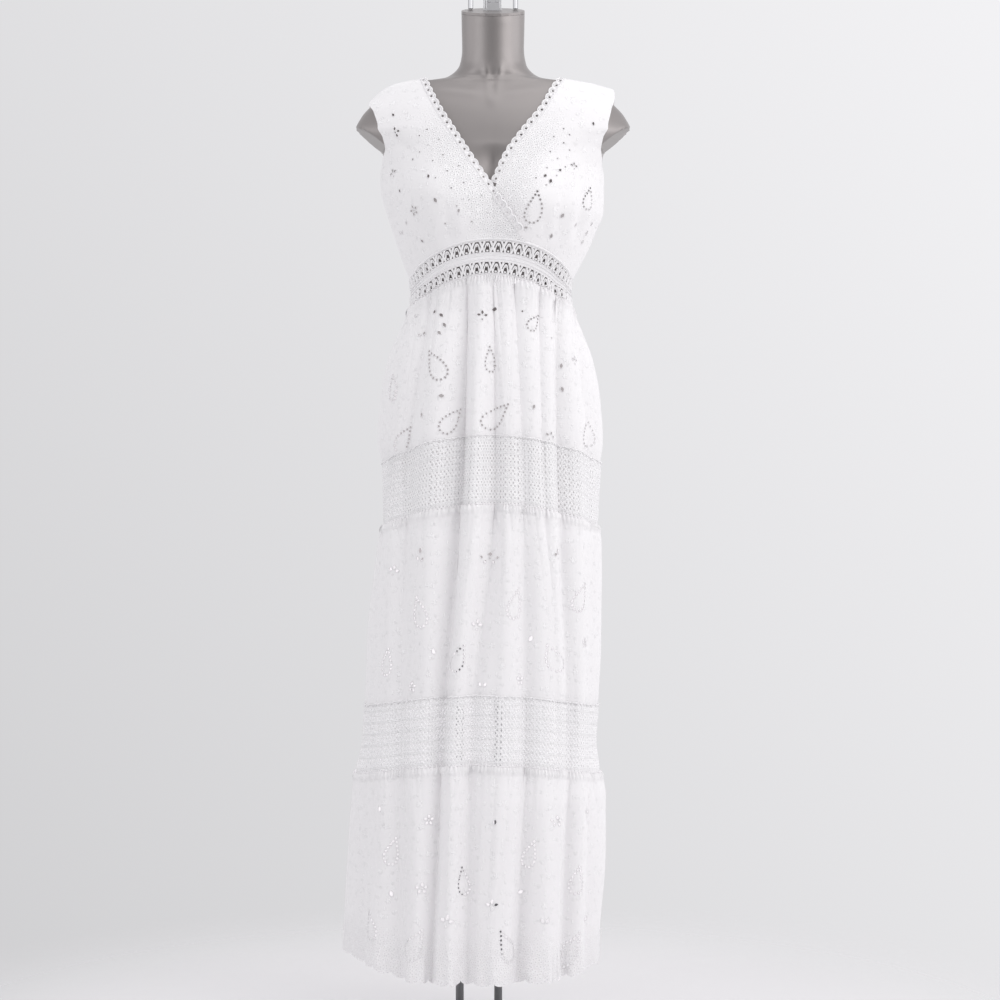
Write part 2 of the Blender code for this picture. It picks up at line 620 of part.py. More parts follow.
def unspread(name, across, along):
    """Angle and height of a place on the flat spread."""
    low, high = np.full_like(across, HEIGHTS[0]), np.full_like(across, HEIGHTS[-1])
    for _ in range(30):
        z = (low + high) / 2
        x = across / np.interp(z, HEIGHTS, SPREAD_SIDE)
        y = along / np.interp(z, HEIGHTS, SPREAD_MIDDLE[name])
        lower = x * x + y * y > 1
        low, high = np.where(lower, low, z), np.where(lower, z, high)
    return np.arctan2(x, y), z


def angle_at(x, z):
    """Angle from the middle of a place at a distance across from the form's middle."""
    off = x + FORM_X - (dress_size("left", z) + dress_size("right", z)) / 2
    return np.arcsin(np.clip(off / np.interp(z, HEIGHTS, HALVES), -1, 1))


def on_edge(rows, share):
    """Angle and height at a share, 0 to 1, of the way up an edge given by height."""
    z = np.linspace(rows[0].z, rows[-1].z, HEIGHTS_LOOKED_UP)
    angle = angle_at(smooth(column(rows, "z"), column(rows, "x"), z), z)
    steps = np.linalg.norm(np.diff(section_point(angle, z), axis=0), axis=1)
    lengths = np.append(0, np.cumsum(steps))
    z = np.interp(share * lengths[-1], lengths, z)
    return angle_at(smooth(column(rows, "z"), column(rows, "x"), z), z), z


def shoulder_seam(share):
    """Height of the shoulder seam, from the neck, 0, to the outer end, 1."""
    upper = HEIGHTS > SHOULDER_TIP - 0.01
    return np.interp(
        -NECK_SIDE - (SHOULDER_END - NECK_SIDE) * share, -HALVES[upper], HEIGHTS[upper]
    )


def side_edge(v, name):
    """Angle from the middle, and height, up the side seam and then round the armhole."""
    on_seam = v < SIDE_SEAM_SHARE
    up_seam = BAND_TOP.side + SEAM + (ARMHOLE_FOOT - BAND_TOP.side - SEAM) * v / SIDE_SEAM_SHARE
    t = (v - SIDE_SEAM_SHARE) / (1 - SIDE_SEAM_SHARE)
    tip = shoulder_seam(np.ones(1))
    up_hole = ARMHOLE_FOOT + (tip - ARMHOLE_FOOT) * t
    inset = smooth(column(ARMHOLE, "share"), column(ARMHOLE, name), t)
    return math.pi / 2 - np.radians(np.where(on_seam, 0, inset)), np.where(on_seam, up_seam, up_hole)


def between_edges(name, u, v, left, right, foot, top, fade=0.0):
    """Angle and height inside four edges, each a function of its own share.

    The edges are joined on the bodice spread flat. A fade above 0 keeps the bows of the left
    and right edges, such as armholes, out of the middle.
    """
    zero, one = np.zeros_like(u), np.ones_like(u)
    corners = (left(zero), right(zero), left(one), right(one))
    sides = [spread(name, *edge) for edge in (left(v), right(v), foot(u), top(u), *corners)]
    near = np.abs(2 * u - 1) ** fade
    across, along = (
        (1 - u) * (a * near + (e + (g - e) * v) * (1 - near))
        + u * (b * near + (f + (h - f) * v) * (1 - near)) + (1 - v) * c + v * d
        - (1 - u) * (1 - v) * e - u * (1 - v) * f - (1 - u) * v * g - u * v * h
        for a, b, c, d, e, f, g, h in zip(*sides)
    )
    return unspread(name, across, along)


def section_point(angle, z):
    """A point of the dress without its folds."""
    return plain_section(angle, z)[0]


def front_panel(edge, side, lift):
    """Surface of (u, v) of a front: u from its neck edge outwards, v from the waist up."""
    def outer(v):
        angle, z = side_edge(v, "front")
        return side * angle, z

    def foot(u):
        start, end = on_edge(edge, 0 * u)[0], side * math.pi / 2
        angle = start + (end - start) * u
        return angle, seam_height(BAND_TOP, angle) + SEAM

    def top(u):
        return np.full_like(u, side * math.pi / 2), shoulder_seam(u)

    def surface(u, v):
        angle, z = between_edges("front", u, v, lambda t: on_edge(edge, t), outer, foot, top)
        out = level_below(slope_across(section_point, angle, z), z)
        share = 1 - ramp(*LIFT_FADE, -angle)
        return section_point(angle, z) + out * (lift * share)[..., None], out

    return surface


def back_neck(share):
    """Angle and height along the back neckline, from 0 to 1: half an ellipse on the spread."""
    high = shoulder_seam(np.zeros(1))
    half = np.interp(high, HEIGHTS, SPREAD_SIDE)
    depth = np.interp(high - BACK_NECK_DEPTH, HEIGHTS, SPREAD_MIDDLE["back"])
    turn = math.pi * (share - 0.5)
    return unspread("back", half * np.sin(turn), depth * np.cos(turn))


def back_panel():
    """Surface of (u, v) of the back: u from the dress's right to its left, v up."""
    def sides(sign):
        def edge(v):
            angle, z = side_edge(v, "back")
            return sign * angle, z
        return edge

    def foot(u):
        return (2 * u - 1) * math.pi / 2, np.full_like(u, BAND_TOP.side + SEAM)

    def top(u):
        outward = np.clip(1 - np.minimum(u, 1 - u) / BACK_SHOULDER_SHARE, 0, 1)
        along = np.clip((u - BACK_SHOULDER_SHARE) / (1 - 2 * BACK_SHOULDER_SHARE), 0, 1)
        neck_angle, neck_z = back_neck(along)
        on_seam = np.abs(2 * along - 1) > 1 - STEP
        angle = np.where(on_seam, np.sign(2 * u - 1) * math.pi / 2, neck_angle)
        return angle, np.where(on_seam, shoulder_seam(outward), neck_z)

    def surface(u, v):
        angle, z = between_edges("back", u, v, sides(-1), sides(1), foot, top, ARMHOLE_FADE)
        out = level_below(slope_across(section_point, math.pi - angle, z), z)
        return section_point(math.pi - angle, z), out

    return surface


def panel(name, surface, columns, rows, crowding, leaves, shift):
    """One bodice panel, moved forward or back by its share of the side seam's gap."""
    bm = flat_grid(columns, rows)
    for vert in bm.verts:
        vert.co.y = 1 - (1 - vert.co.y) ** crowding
    cut_leaves(bm, surface, leaves)
    wall_of(bm, surface, shift=shift)
    return place(name, bm, WHITE_COTTON)


def depth_at(points):
    """y of the dress without folds at each point's x and height, on the point's own side."""
    angle = angle_at(points[:, 0] - FORM_X, points[:, 2])
    return section_point(np.where(points[:, 1] < 0, angle, math.pi - angle), points[:, 2])[:, 1]


def edging(name, surface, path, stations, turn, shift):
    """Scalloped edging along a panel's edge, with one hole in each scallop.

    path gives (u, v) on the panel's edge for a share of the edging's length, stations are the
    shares where the panel has its own points, and turn is the side that the edging lies on.
    """
    corners = surface(*path(stations))[0]

    def strip(t, w):
        base = np.stack([np.interp(t, stations, corners[:, i]) for i in range(3)], axis=-1)
        out = surface(*path(t))[1]
        along = surface(*path(t + STEP))[0] - surface(*path(t - STEP))[0]
        square = turn * unit(np.cross(out, along))
        on_seam = np.sign(base[:, :1] - FORM_X) * unit(np.cross(out, (0, 1, 0)))
        share = ramp(0, EDGING_TURN, np.abs(base[:, 1:2]))
        valley = 1 - SCALLOP_DIP * (1 - np.abs(np.sin(math.pi * scallops * t)) ** 0.7)
        reach = EDGING_GAP + EDGING_WIDTH * w * (1 - w + w * valley)
        points = base + unit(square * share + on_seam * (1 - share)) * reach[:, None]
        follow = ramp(EDGING_TURN, 2 * EDGING_TURN, np.abs(base[:, 1]))
        points[:, 1] += follow * (depth_at(points) - depth_at(base))
        return points, out

    line = surface(*path(np.linspace(0, 1, 80)))[0]
    length = float(np.linalg.norm(np.diff(line, axis=0), axis=1).sum())
    scallops = round(length / SCALLOP_PITCH)
    bm = flat_grid(2 * scallops, 2)
    middles = [
        vert for vert in bm.verts
        if round(vert.co.x * 2 * scallops) % 2 == 1 and abs(vert.co.y - 0.5) < STEP
    ]
    for vert in middles:
        cut_diamond(bm, vert, EDGING_HOLE, EDGING_HOLE, length, EDGING_WIDTH)
    wall_of(bm, strip, shift=shift)
    return place(name, bm, WHITE_COTTON)


def make_bodice():
    """The over front on the dress's right, the under front, the back and their edgings."""
    forward, back = -SEAM / 2, SEAM / 2
    over = front_panel(OVER_EDGE, -1, OVERLAP)
    under = front_panel(UNDER_EDGE, 1, 0.0)
    behind = back_panel()
    panel("bodice_right_front", over, 12, FRONT_ROWS, FRONT_CROWDING, RIGHT_FRONT_LEAVES, forward)
    panel("bodice_left_front", under, 12, FRONT_ROWS, FRONT_CROWDING, LEFT_FRONT_LEAVES, forward)
    panel("bodice_back", behind, BACK_PANEL_COLUMNS, 13, BACK_CROWDING, BACK_LEAVES, back)

    def up_edge(name, surface, start, turn):
        rows = 1 - (1 - np.arange(FRONT_ROWS + 1) / FRONT_ROWS) ** FRONT_CROWDING
        stations = (rows - start) / (1 - start)
        edging(name, surface, lambda t: (0 * t, start + (1 - start) * t), stations, turn, forward)

    def round_back(share):
        return BACK_SHOULDER_SHARE + (1 - 2 * BACK_SHOULDER_SHARE) * share, 0 * share + 1

    up_edge("neck_edging_right", over, OVER_EDGING_START, -1)
    up_edge("neck_edging_left", under, UNDER_EDGING_START, 1)
    neck_columns = round(BACK_PANEL_COLUMNS * (1 - 2 * BACK_SHOULDER_SHARE))
    stations = np.arange(neck_columns + 1) / neck_columns
    edging("neck_edging_back", behind, round_back, stations, -1, back)
    waist_band("waist_band_front", even_front, forward)
    waist_band("waist_band_back", back_angle, back)


# ---------------------------------------------------------------- the form and its stand

def make_form():
    """The torso with its cut shoulders and neck, closed at the foot and at the neck."""
    bm = flat_grid(FORM_COLUMNS, len(FORM) - 1)
    angle = np.array([vert.co.x for vert in bm.verts]) * 2 * math.pi
    spot = np.array([vert.co.y for vert in bm.verts]) * (len(FORM) - 1)
    for vert, point in zip(bm.verts[:], form_surface(angle, spot)):
        vert.co = point
    bmesh.ops.remove_doubles(bm, verts=bm.verts[:], dist=1e-6)
    bmesh.ops.holes_fill(bm, edges=[edge for edge in bm.edges if edge.is_boundary], sides=0)
    face_out(bm)
    place("dress_form", bm, SILVER_PAINT)


def on_neck(x, y, up):
    """A point on the tilted neck top, from its middle, and how far above it."""
    top = FORM[-1].z
    middle_y = -NECK_LEAN
    return (
        FORM_X + x,
        middle_y + y * math.cos(CAP_TILT) - up * math.sin(CAP_TILT),
        top + y * math.sin(CAP_TILT) + up * math.cos(CAP_TILT),
    )


def make_neck_top():
    """The neck's cap, the flat bracket on it with two screws, and the carrying handle."""
    bm = bmesh.new()
    bmesh.ops.create_circle(bm, segments=FORM_COLUMNS, radius=1, cap_ends=True)
    lift = bmesh.ops.extrude_face_region(bm, geom=bm.faces[:], use_keep_orig=True)
    for item in lift["geom"]:
        if isinstance(item, bmesh.types.BMVert):
            item.co.z = 1
    across, along = FORM[-1].half, (FORM[-1].front + FORM[-1].back) / 2 / math.cos(CAP_TILT)
    for vert in bm.verts:
        x, y, z = vert.co
        up = SEAM + CAP_THICK * z
        vert.co = on_neck(x * across, y * along, up)
    face_out(bm)
    place("neck_cap", bm, SILVER_PAINT)

    cap_top = FORM[-1].z + CAP_THICK / math.cos(CAP_TILT)
    bm = bmesh.new()
    bmesh.ops.create_cube(bm, size=1)
    for vert in bm.verts:
        x, y, z = vert.co
        foot_z = on_neck(0, y * BRACKET[1], CAP_THICK + 2 * SEAM)
        if z < 0:
            vert.co = (FORM_X + x * BRACKET[0], foot_z[1], foot_z[2])
        else:
            vert.co = (FORM_X + x * BRACKET[0], foot_z[1], cap_top + BRACKET[2])
    face_out(bm)
    place("neck_bracket", bm, STEEL)

    curve = bpy.data.curves.new("neck_handle", "CURVE")
    curve.dimensions = "3D"
    curve.bevel_depth = HANDLE_RADIUS
    curve.bevel_resolution = 2
    curve.use_fill_caps = True
    highest = (HANDLE_BEHIND + HANDLE_RADIUS) * math.tan(CAP_TILT)
    foot = FORM[-1].z + highest + (CAP_THICK + 2 * SEAM) / math.cos(CAP_TILT)
    turn = [math.pi * i / HANDLE_TURNS for i in range(HANDLE_TURNS + 1)]
    run = [(HANDLE_HALF, foot)]
    run += [(HANDLE_HALF * math.cos(a), HANDLE_RISE + HANDLE_HALF * math.sin(a)) for a in turn]
    run += [(-HANDLE_HALF, foot)]
    spline = curve.splines.new("POLY")
    spline.points.add(len(run) - 1)
    for point, (x, z) in zip(spline.points, run):
        point.co = (FORM_X + x, -NECK_LEAN + HANDLE_BEHIND, z, 1)
    handle = bpy.data.objects.new("neck_handle", curve)
    curve.materials.append(material("neck_handle", STEEL))
    bpy.context.collection.objects.link(handle)


def cylinder(name, x, radius, low, high, sides, finish, round_edge=0.0):
    """An upright round bar or plate."""
    bm = bmesh.new()
    bmesh.ops.create_cone(
        bm, cap_ends=True, segments=sides, radius1=radius, radius2=radius, depth=high - low
    )
    if round_edge:
        rims = [edge for edge in bm.edges if edge.calc_face_angle(0) > 1]
        bmesh.ops.bevel(
            bm, geom=rims, offset=round_edge, segments=1, profile=0.5, affect="EDGES", material=-1
        )
    bmesh.ops.translate(bm, verts=bm.verts[:], vec=(x, 0, (low + high) / 2))
    return place(name, bm, finish)


def make_stand():
    """Two posts on a round plate."""
    foot, top = BASE_THICK + SEAM, FORM[0].z - SEAM
    cylinder("base", 0, BASE_RADIUS, 0, BASE_THICK, 36, DARK_METAL, round_edge=0.002)
    cylinder("post_right", -POST_X, POST_RADIUS, foot, top, 16, DARK_METAL)
    cylinder("post_left", POST_X, POST_RADIUS, foot, top, 16, DARK_METAL)


# ---------------------------------------------------------------- objects

def material(name, finish):
    """A plain material of a finish's colour, metallic value and roughness."""
    made = bpy.data.materials.new(name)
    made.use_nodes = True
    shader = made.node_tree.nodes["Principled BSDF"]
    shader.inputs["Base Color"].default_value = (*finish.colour, 1)
    shader.inputs["Metallic"].default_value = finish.metallic
    shader.inputs["Roughness"].default_value = finish.roughness
    return made


def place(name, bm, finish):
    """Make a mesh into a named object with its own material."""
    mesh = bpy.data.meshes.new(name)
    bm.to_mesh(mesh)
    bm.free()
    mesh.shade_smooth()
    mesh.set_sharp_from_angle(angle=SHARP_ANGLE)
    mesh.materials.append(material(name, finish))
    made = bpy.data.objects.new(name, mesh)
    bpy.context.collection.objects.link(made)
    return made


def main():
    for thing in list(bpy.data.objects):
        bpy.data.objects.remove(thing)
    make_skirt()
    make_bodice()
    make_form()
    make_neck_top()
    make_stand()


main()
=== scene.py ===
"""White maxi dress of eyelet-embroidered cotton on a silver dress form: the finished look.

Metres, +Z up. The front faces -Y, and the wearer's right is at -X. The cloth follows the same
sections, folds and seams as the solids that it replaces, at thread scale.
"""

from collections import namedtuple
import math

import bmesh
import bpy
from mathutils import Matrix, Vector
import numpy as np


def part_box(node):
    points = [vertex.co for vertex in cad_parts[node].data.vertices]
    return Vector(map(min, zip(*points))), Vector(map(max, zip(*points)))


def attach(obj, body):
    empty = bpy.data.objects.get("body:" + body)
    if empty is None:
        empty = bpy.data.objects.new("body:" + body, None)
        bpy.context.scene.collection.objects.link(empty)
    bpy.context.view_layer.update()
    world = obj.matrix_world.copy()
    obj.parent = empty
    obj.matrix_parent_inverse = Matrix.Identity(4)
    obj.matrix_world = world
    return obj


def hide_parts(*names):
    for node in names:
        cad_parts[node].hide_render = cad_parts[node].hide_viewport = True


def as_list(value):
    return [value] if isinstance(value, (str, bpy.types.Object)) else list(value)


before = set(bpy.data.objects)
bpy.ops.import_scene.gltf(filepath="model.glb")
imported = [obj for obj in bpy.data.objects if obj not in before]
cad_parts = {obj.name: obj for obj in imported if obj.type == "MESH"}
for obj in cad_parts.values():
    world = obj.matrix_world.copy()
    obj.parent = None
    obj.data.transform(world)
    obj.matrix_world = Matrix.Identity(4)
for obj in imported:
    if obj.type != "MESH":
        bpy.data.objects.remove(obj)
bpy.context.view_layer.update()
COARSE = 1

# ---------------------------------------------------------------- driving sizes

SEAM = 0.0003               # clear distance between two pieces that meet
STEP = 1e-4                 # small step for slopes, in each surface's own units
SEAM_TRIES = 5              # rounds of fitting a fold's angle and its seam's height together
HALVINGS = 30               # steps that find a height on the bodice spread flat
FORM_X = 0.022              # the form's middle, to the left of the posts' middle
BODY_AXIS = (FORM_X * 0.9, 0.0)     # a point well inside every ring, to tell out from in

OPENING_PITCH = 0.0136      # waist lace: width of one repeat
SCALLOP_PITCH = 0.0138      # neck edging: length of one scallop
EDGING_WIDTH = 0.0105
EDGING_GAP = 0.0006         # clear distance from the panel
EDGING_TURN = 0.030         # within this of the shoulder seam its end turns into the seam
SCALLOP_DIP = 0.32          # depth of the dips between scallops, as a share of the width
OVER_EDGING_START = 0.05    # how far up the neck edges the edgings begin
UNDER_EDGING_START = 0.29
HEM_DROP = 0.010            # depth of a hem scallop
COLUMNS_A_FOLD = 3          # faces from the middle of one front fold to the next
BACK_COLUMNS = 32           # faces across the back half of a skirt ring
SIDE_SEAM_SHARE = 0.50      # share of a panel's side that is seam, below the armhole
BACK_SHOULDER_SHARE = 0.20  # share of the back's top that is each shoulder seam
LIFT_FADE = (math.radians(28), math.radians(55))    # where the over front settles back
HEIGHTS_LOOKED_UP = 1600    # how finely a height is looked up on the bodice
LINE_POINTS = 1600          # points along a piece's middle line, to measure along it

# Heights of the seams round the dress: at the sides and back, and how much higher
# the middle of the front is.
Seam = namedtuple("Seam", "side rise")
BAND_TOP = Seam(1.171, 0.052)
WAIST = Seam(1.123, 0.042)
LACE_1_TOP = Seam(0.884, 0.040)
LACE_1_FOOT = Seam(0.785, 0.034)
LACE_2_TOP = Seam(0.508, 0.025)
LACE_2_FOOT = Seam(0.402, 0.026)
HEM = Seam(0.116, 0.0)

# The dress without its folds, one row for each level.
Level = namedtuple("Level", "z left right front back")
DRESS = [
    Level(0.060, -0.211, 0.182, 0.176, 0.172),
    Level(0.160, -0.209, 0.188, 0.172, 0.170),
    Level(0.280, -0.203, 0.197, 0.165, 0.166),
    Level(0.366, -0.196, 0.195, 0.160, 0.162),
    Level(0.410, -0.190, 0.186, 0.154, 0.156),
    Level(0.452, -0.181, 0.180, 0.150, 0.152),
    Level(0.528, -0.176, 0.186, 0.147, 0.150),
    Level(0.605, -0.174, 0.190, 0.144, 0.148),
    Level(0.700, -0.164, 0.190, 0.139, 0.145),
    Level(0.760, -0.155, 0.188, 0.135, 0.142),
    Level(0.790, -0.148, 0.184, 0.131, 0.138),
    Level(0.875, -0.149, 0.188, 0.128, 0.138),
    Level(0.922, -0.157, 0.193, 0.129, 0.140),
    Level(0.984, -0.153, 0.189, 0.126, 0.135),
    Level(1.046, -0.141, 0.176, 0.119, 0.120),
    Level(1.090, -0.121, 0.158, 0.110, 0.106),
    Level(1.125, -0.106, 0.145, 0.104, 0.098),
    Level(1.160, -0.106, 0.143, 0.104, 0.097),
    Level(1.192, -0.116, 0.157, 0.110, 0.100),
    Level(1.217, -0.125, 0.170, 0.114, 0.103),
    Level(1.246, -0.134, 0.182, 0.117, 0.106),
    Level(1.276, -0.144, 0.194, 0.118, 0.109),
    Level(1.305, -0.152, 0.195, 0.115, 0.111),
    Level(1.335, -0.154, 0.195, 0.109, 0.112),
    Level(1.366, -0.164, 0.208, 0.102, 0.110),
    Level(1.385, -0.181, 0.225, 0.097, 0.105),
    Level(1.4000, -0.1970, 0.2410, 0.0915, 0.0995),
    Level(1.4275, -0.1865, 0.2305, 0.0835, 0.0905),
    Level(1.4469, -0.1671, 0.2111, 0.0755, 0.0825),
    Level(1.4619, -0.1531, 0.1971, 0.0672, 0.0760),
    Level(1.4728, -0.1372, 0.1812, 0.0605, 0.0690),
    Level(1.4788, -0.1142, 0.1582, 0.0565, 0.0640),
    Level(1.4810, -0.0860, 0.1300, 0.0545, 0.0605),
    Level(1.4856, -0.0575, 0.1015, 0.0530, 0.0570),
]

# The dress form, one row for each ring from the foot to the neck.
Ring = namedtuple("Ring", "z half front back")
FORM = [
    Ring(0.735, 0.116, 0.082, 0.084),
    Ring(0.800, 0.132, 0.088, 0.097),
    Ring(0.870, 0.143, 0.092, 0.108),
    Ring(0.940, 0.145, 0.094, 0.110),
    Ring(1.010, 0.134, 0.092, 0.099),
    Ring(1.070, 0.117, 0.086, 0.086),
    Ring(1.125, 0.109, 0.084, 0.080),
    Ring(1.180, 0.116, 0.090, 0.083),
    Ring(1.235, 0.132, 0.099, 0.092),
    Ring(1.290, 0.148, 0.100, 0.099),
    Ring(1.335, 0.158, 0.096, 0.103),
    Ring(1.366, 0.168, 0.093, 0.102),
    Ring(1.376, 0.189, 0.091, 0.100),
    Ring(1.400, 0.216, 0.086, 0.094),
    Ring(1.425, 0.205, 0.079, 0.086),
    Ring(1.445, 0.187, 0.071, 0.078),
    Ring(1.4600, 0.1735, 0.062, 0.066),
    Ring(1.4700, 0.1580, 0.055, 0.058),
    Ring(1.4765, 0.1360, 0.050, 0.052),
    Ring(1.4795, 0.1080, 0.049, 0.050),
    Ring(1.4840, 0.0790, 0.048, 0.050),
    Ring(1.4920, 0.0630, 0.049, 0.051),
    Ring(1.5060, 0.0520, 0.048, 0.049),
    Ring(1.5300, 0.0482, 0.047, 0.048),
    Ring(1.5600, 0.0488, 0.047, 0.048),
    Ring(1.5850, 0.0492, 0.047, 0.048),
]
NECK_LEAN = 0.010           # how far the top of the neck comes forward
NECK_FOOT_Z = 1.47
CAP_TILT = math.radians(17)
ARM_CUT = (0.175, 1.374)    # a point of the flat cut face, from the form's middle
ARM_CUT_SLOPE = 0.034 / 0.028
ARM_CUT_TURN = 0.13         # how far each cut face is turned to the front

# Creases of the bodice or modelling of the form, from end to end, by place across from the
# form's middle and height: width, and how far out (+) or in (-).
Crease = namedtuple("Crease", "x0 z0 x1 z1 width out")
FORM_RELIEF = [
    Crease(-0.0120, 1.500, -0.0030, 1.436, 0.0042, 0.0022),     # the two cords of the neck
    Crease(0.0120, 1.500, 0.0030, 1.436, 0.0042, 0.0022),
    Crease(0.0000, 1.470, 0.0000, 1.444, 0.0050, -0.0018),      # the hollow between them
    Crease(-0.0160, 1.451, -0.0950, 1.462, 0.0060, 0.0016),     # the collar bones
    Crease(0.0160, 1.451, 0.0950, 1.462, 0.0060, 0.0016),
    Crease(-0.0260, 1.468, -0.0900, 1.476, 0.0070, -0.0012),
    Crease(0.0260, 1.468, 0.0900, 1.476, 0.0070, -0.0012),
    Crease(0.0000, 1.360, 0.0000, 1.270, 0.0130, -0.0050),      # between the breasts
]

BUST_X = 0.083              # from the form's middle
BUST_Z = 1.282
BUST_WIDTH = 0.047
BUST_HEIGHT = 0.046
FORM_BUST = 0.024
DRESS_BUST = 0.027

LEVEL_BELOW, FREE_ABOVE = 1.285, 1.400  # where the cloth's thickness stops being level
# How a bodice panel's rows run: how fast they forget its sides' bows towards the middle, and
# from where to where up the panel they turn towards the shoulders.
Join = namedtuple("Join", "fade low high")
FRONT_JOIN, BACK_JOIN = Join(0.0, 0.56, 0.96), Join(1.2, 0.45, 0.70)
OVERLAP = 0.0048            # how far the over front stands out past the under front

# Edges of the bodice, by height: distance from the form's middle.
Edge = namedtuple("Edge", "z x")
OVER_EDGE = [
    Edge(1.2180, 0.0500), Edge(1.2350, 0.0360), Edge(1.2685, 0.0125), Edge(1.3040, -0.0125),
    Edge(1.3350, -0.0330), Edge(1.3800, -0.0615), Edge(1.4290, -0.0905), Edge(1.4600, -0.1050),
    Edge(1.4806, -0.1130),
]
UNDER_EDGE = [
    Edge(1.2180, -0.0500), Edge(1.2350, -0.0360), Edge(1.2685, -0.0125), Edge(1.3040, 0.0050),
    Edge(1.3137, 0.0095), Edge(1.3500, 0.0258), Edge(1.3900, 0.0535), Edge(1.4280, 0.0825),
    Edge(1.4600, 0.0990), Edge(1.4806, 0.1130),
]
NECK_SIDE = 0.1130          # from the form's middle to the neck end of the shoulder seam
SHOULDER_END = 0.1890       # and to its outer end
BACK_NECK_DEPTH = 0.042     # the back neckline's drop below the shoulder seam
ARMHOLE_FOOT = 1.330        # height of the underarm point
SHOULDER_TIP = 1.443
# Armhole edge on the front and on the back: angle from the side, in degrees, at each share
# of the height from the underarm point to the shoulder seam.
Armhole = namedtuple("Armhole", "share front back")
ARMHOLE = [
    Armhole(0.00, 0.0, 0.0), Armhole(0.07, 10.0, 9.0), Armhole(0.19, 19.0, 16.0),
    Armhole(0.36, 29.0, 24.0), Armhole(0.60, 36.0, 30.0), Armhole(0.82, 28.0, 24.0),
    Armhole(1.00, 0.0, 0.0),
]

# Folds of the front: distance across from the posts' middle at the waist, at the two lace
# bands and at the hem, width towards each side, and how far out (+) or in (-) at each height.
Fold = namedtuple(
    "Fold",
    "x_waist x_lace_1 x_lace_2 x_hem to_right to_left out_waist out_lace_1 out_lace_2 out_hem",
)
FOLD_HEIGHTS = (1.165, 0.870, 0.480, 0.116)
FOLDS = [
    Fold(-0.100, -0.140, -0.162, -0.182, 0.010, 0.012, -0.002, -0.003, -0.005, -0.012),
    Fold(-0.088, -0.128, -0.142, -0.154, 0.010, 0.010, 0.002, 0.004, 0.006, 0.012),
    Fold(-0.072, -0.110, -0.116, -0.122, 0.010, 0.009, -0.004, -0.009, -0.010, -0.018),
    Fold(-0.044, -0.072, -0.082, -0.086, 0.015, 0.013, 0.003, 0.008, 0.009, 0.016),
    Fold(-0.017, -0.025, -0.053, -0.073, 0.012, 0.004, -0.011, -0.022, -0.024, -0.034),
    Fold(0.004, -0.005, -0.033, -0.043, 0.009, 0.010, 0.004, 0.012, 0.015, 0.018),
    Fold(0.025, 0.026, -0.011, -0.019, 0.011, 0.010, -0.007, -0.016, -0.020, -0.030),
    Fold(0.041, 0.044, 0.034, 0.020, 0.008, 0.015, 0.003, 0.006, 0.013, 0.014),
    Fold(0.056, 0.068, 0.071, 0.060, 0.008, 0.009, -0.008, -0.008, -0.017, -0.032),
    Fold(0.075, 0.082, 0.100, 0.097, 0.011, 0.014, 0.005, 0.008, 0.010, 0.022),
    Fold(0.092, 0.097, 0.117, 0.113, 0.005, 0.005, -0.006, -0.004, -0.002, -0.002),
    Fold(0.105, 0.108, 0.124, 0.120, 0.008, 0.006, 0.004, 0.004, 0.003, 0.004),
    Fold(0.118, 0.124, 0.137, 0.130, 0.006, 0.007, -0.006, -0.011, -0.014, -0.024),
    Fold(0.128, 0.148, 0.154, 0.148, 0.009, 0.009, 0.003, 0.005, 0.006, 0.014),
    Fold(0.137, 0.170, 0.170, 0.166, 0.007, 0.007, -0.002, -0.004, -0.005, -0.012),
]
# Waves of the back: how many round the whole ring, their shift, and their share of the depth.
Wave = namedtuple("Wave", "count shift share")
BACK_WAVES = [Wave(16, 0.4, 0.62), Wave(11, 1.9, 0.38)]
BACK_DEPTHS = (0.005, 0.009, 0.012, 0.019)      # at FOLD_HEIGHTS
FRONT_COLUMNS = COLUMNS_A_FOLD * (len(FOLDS) + 1)
RING_COLUMNS = FRONT_COLUMNS + BACK_COLUMNS

# ---------------------------------------------------------------- curves through tables

def column(rows, name):
    """One named column of a table."""
    return np.array([getattr(row, name) for row in rows])


def smooth(places, values, at):
    """Values at given places on a smooth curve through a table, with no overshoot."""
    places, values = np.asarray(places, float), np.asarray(values, float)
    steps = np.diff(places)
    rises = np.diff(values) / steps
    slopes = np.zeros(len(places))
    same_way = rises[:-1] * rises[1:] > 0
    pair = rises[:-1] + rises[1:]
    slopes[1:-1] = np.where(same_way, 2 * rises[:-1] * rises[1:] / np.where(same_way, pair, 1), 0)
    slopes[0], slopes[-1] = rises[0], rises[-1]
    at = np.clip(at, places[0], places[-1])
    i = np.clip(np.searchsorted(places, at, side="right") - 1, 0, len(steps) - 1)
    t = (at - places[i]) / steps[i]
    return (
        (1 + 2 * t) * (1 - t) ** 2 * values[i]
        + t * (1 - t) ** 2 * steps[i] * slopes[i]
        + t * t * (3 - 2 * t) * values[i + 1]
        + t * t * (t - 1) * steps[i] * slopes[i + 1]
    )


def ramp(low, high, at):
    """0 below low, 1 above high, and smooth between."""
    t = np.clip((at - low) / (high - low), 0, 1)
    return t * t * (3 - 2 * t)


def unit(vectors):
    """Vectors of length 1."""
    return vectors / np.maximum(np.linalg.norm(vectors, axis=-1, keepdims=True), 1e-12)


# ---------------------------------------------------------------- surfaces

def seam_height(seam, angle):
    """Height of a seam at an angle round the dress, 0 at the front."""
    return seam.side + seam.rise * np.maximum(np.cos(angle), 0) ** 2


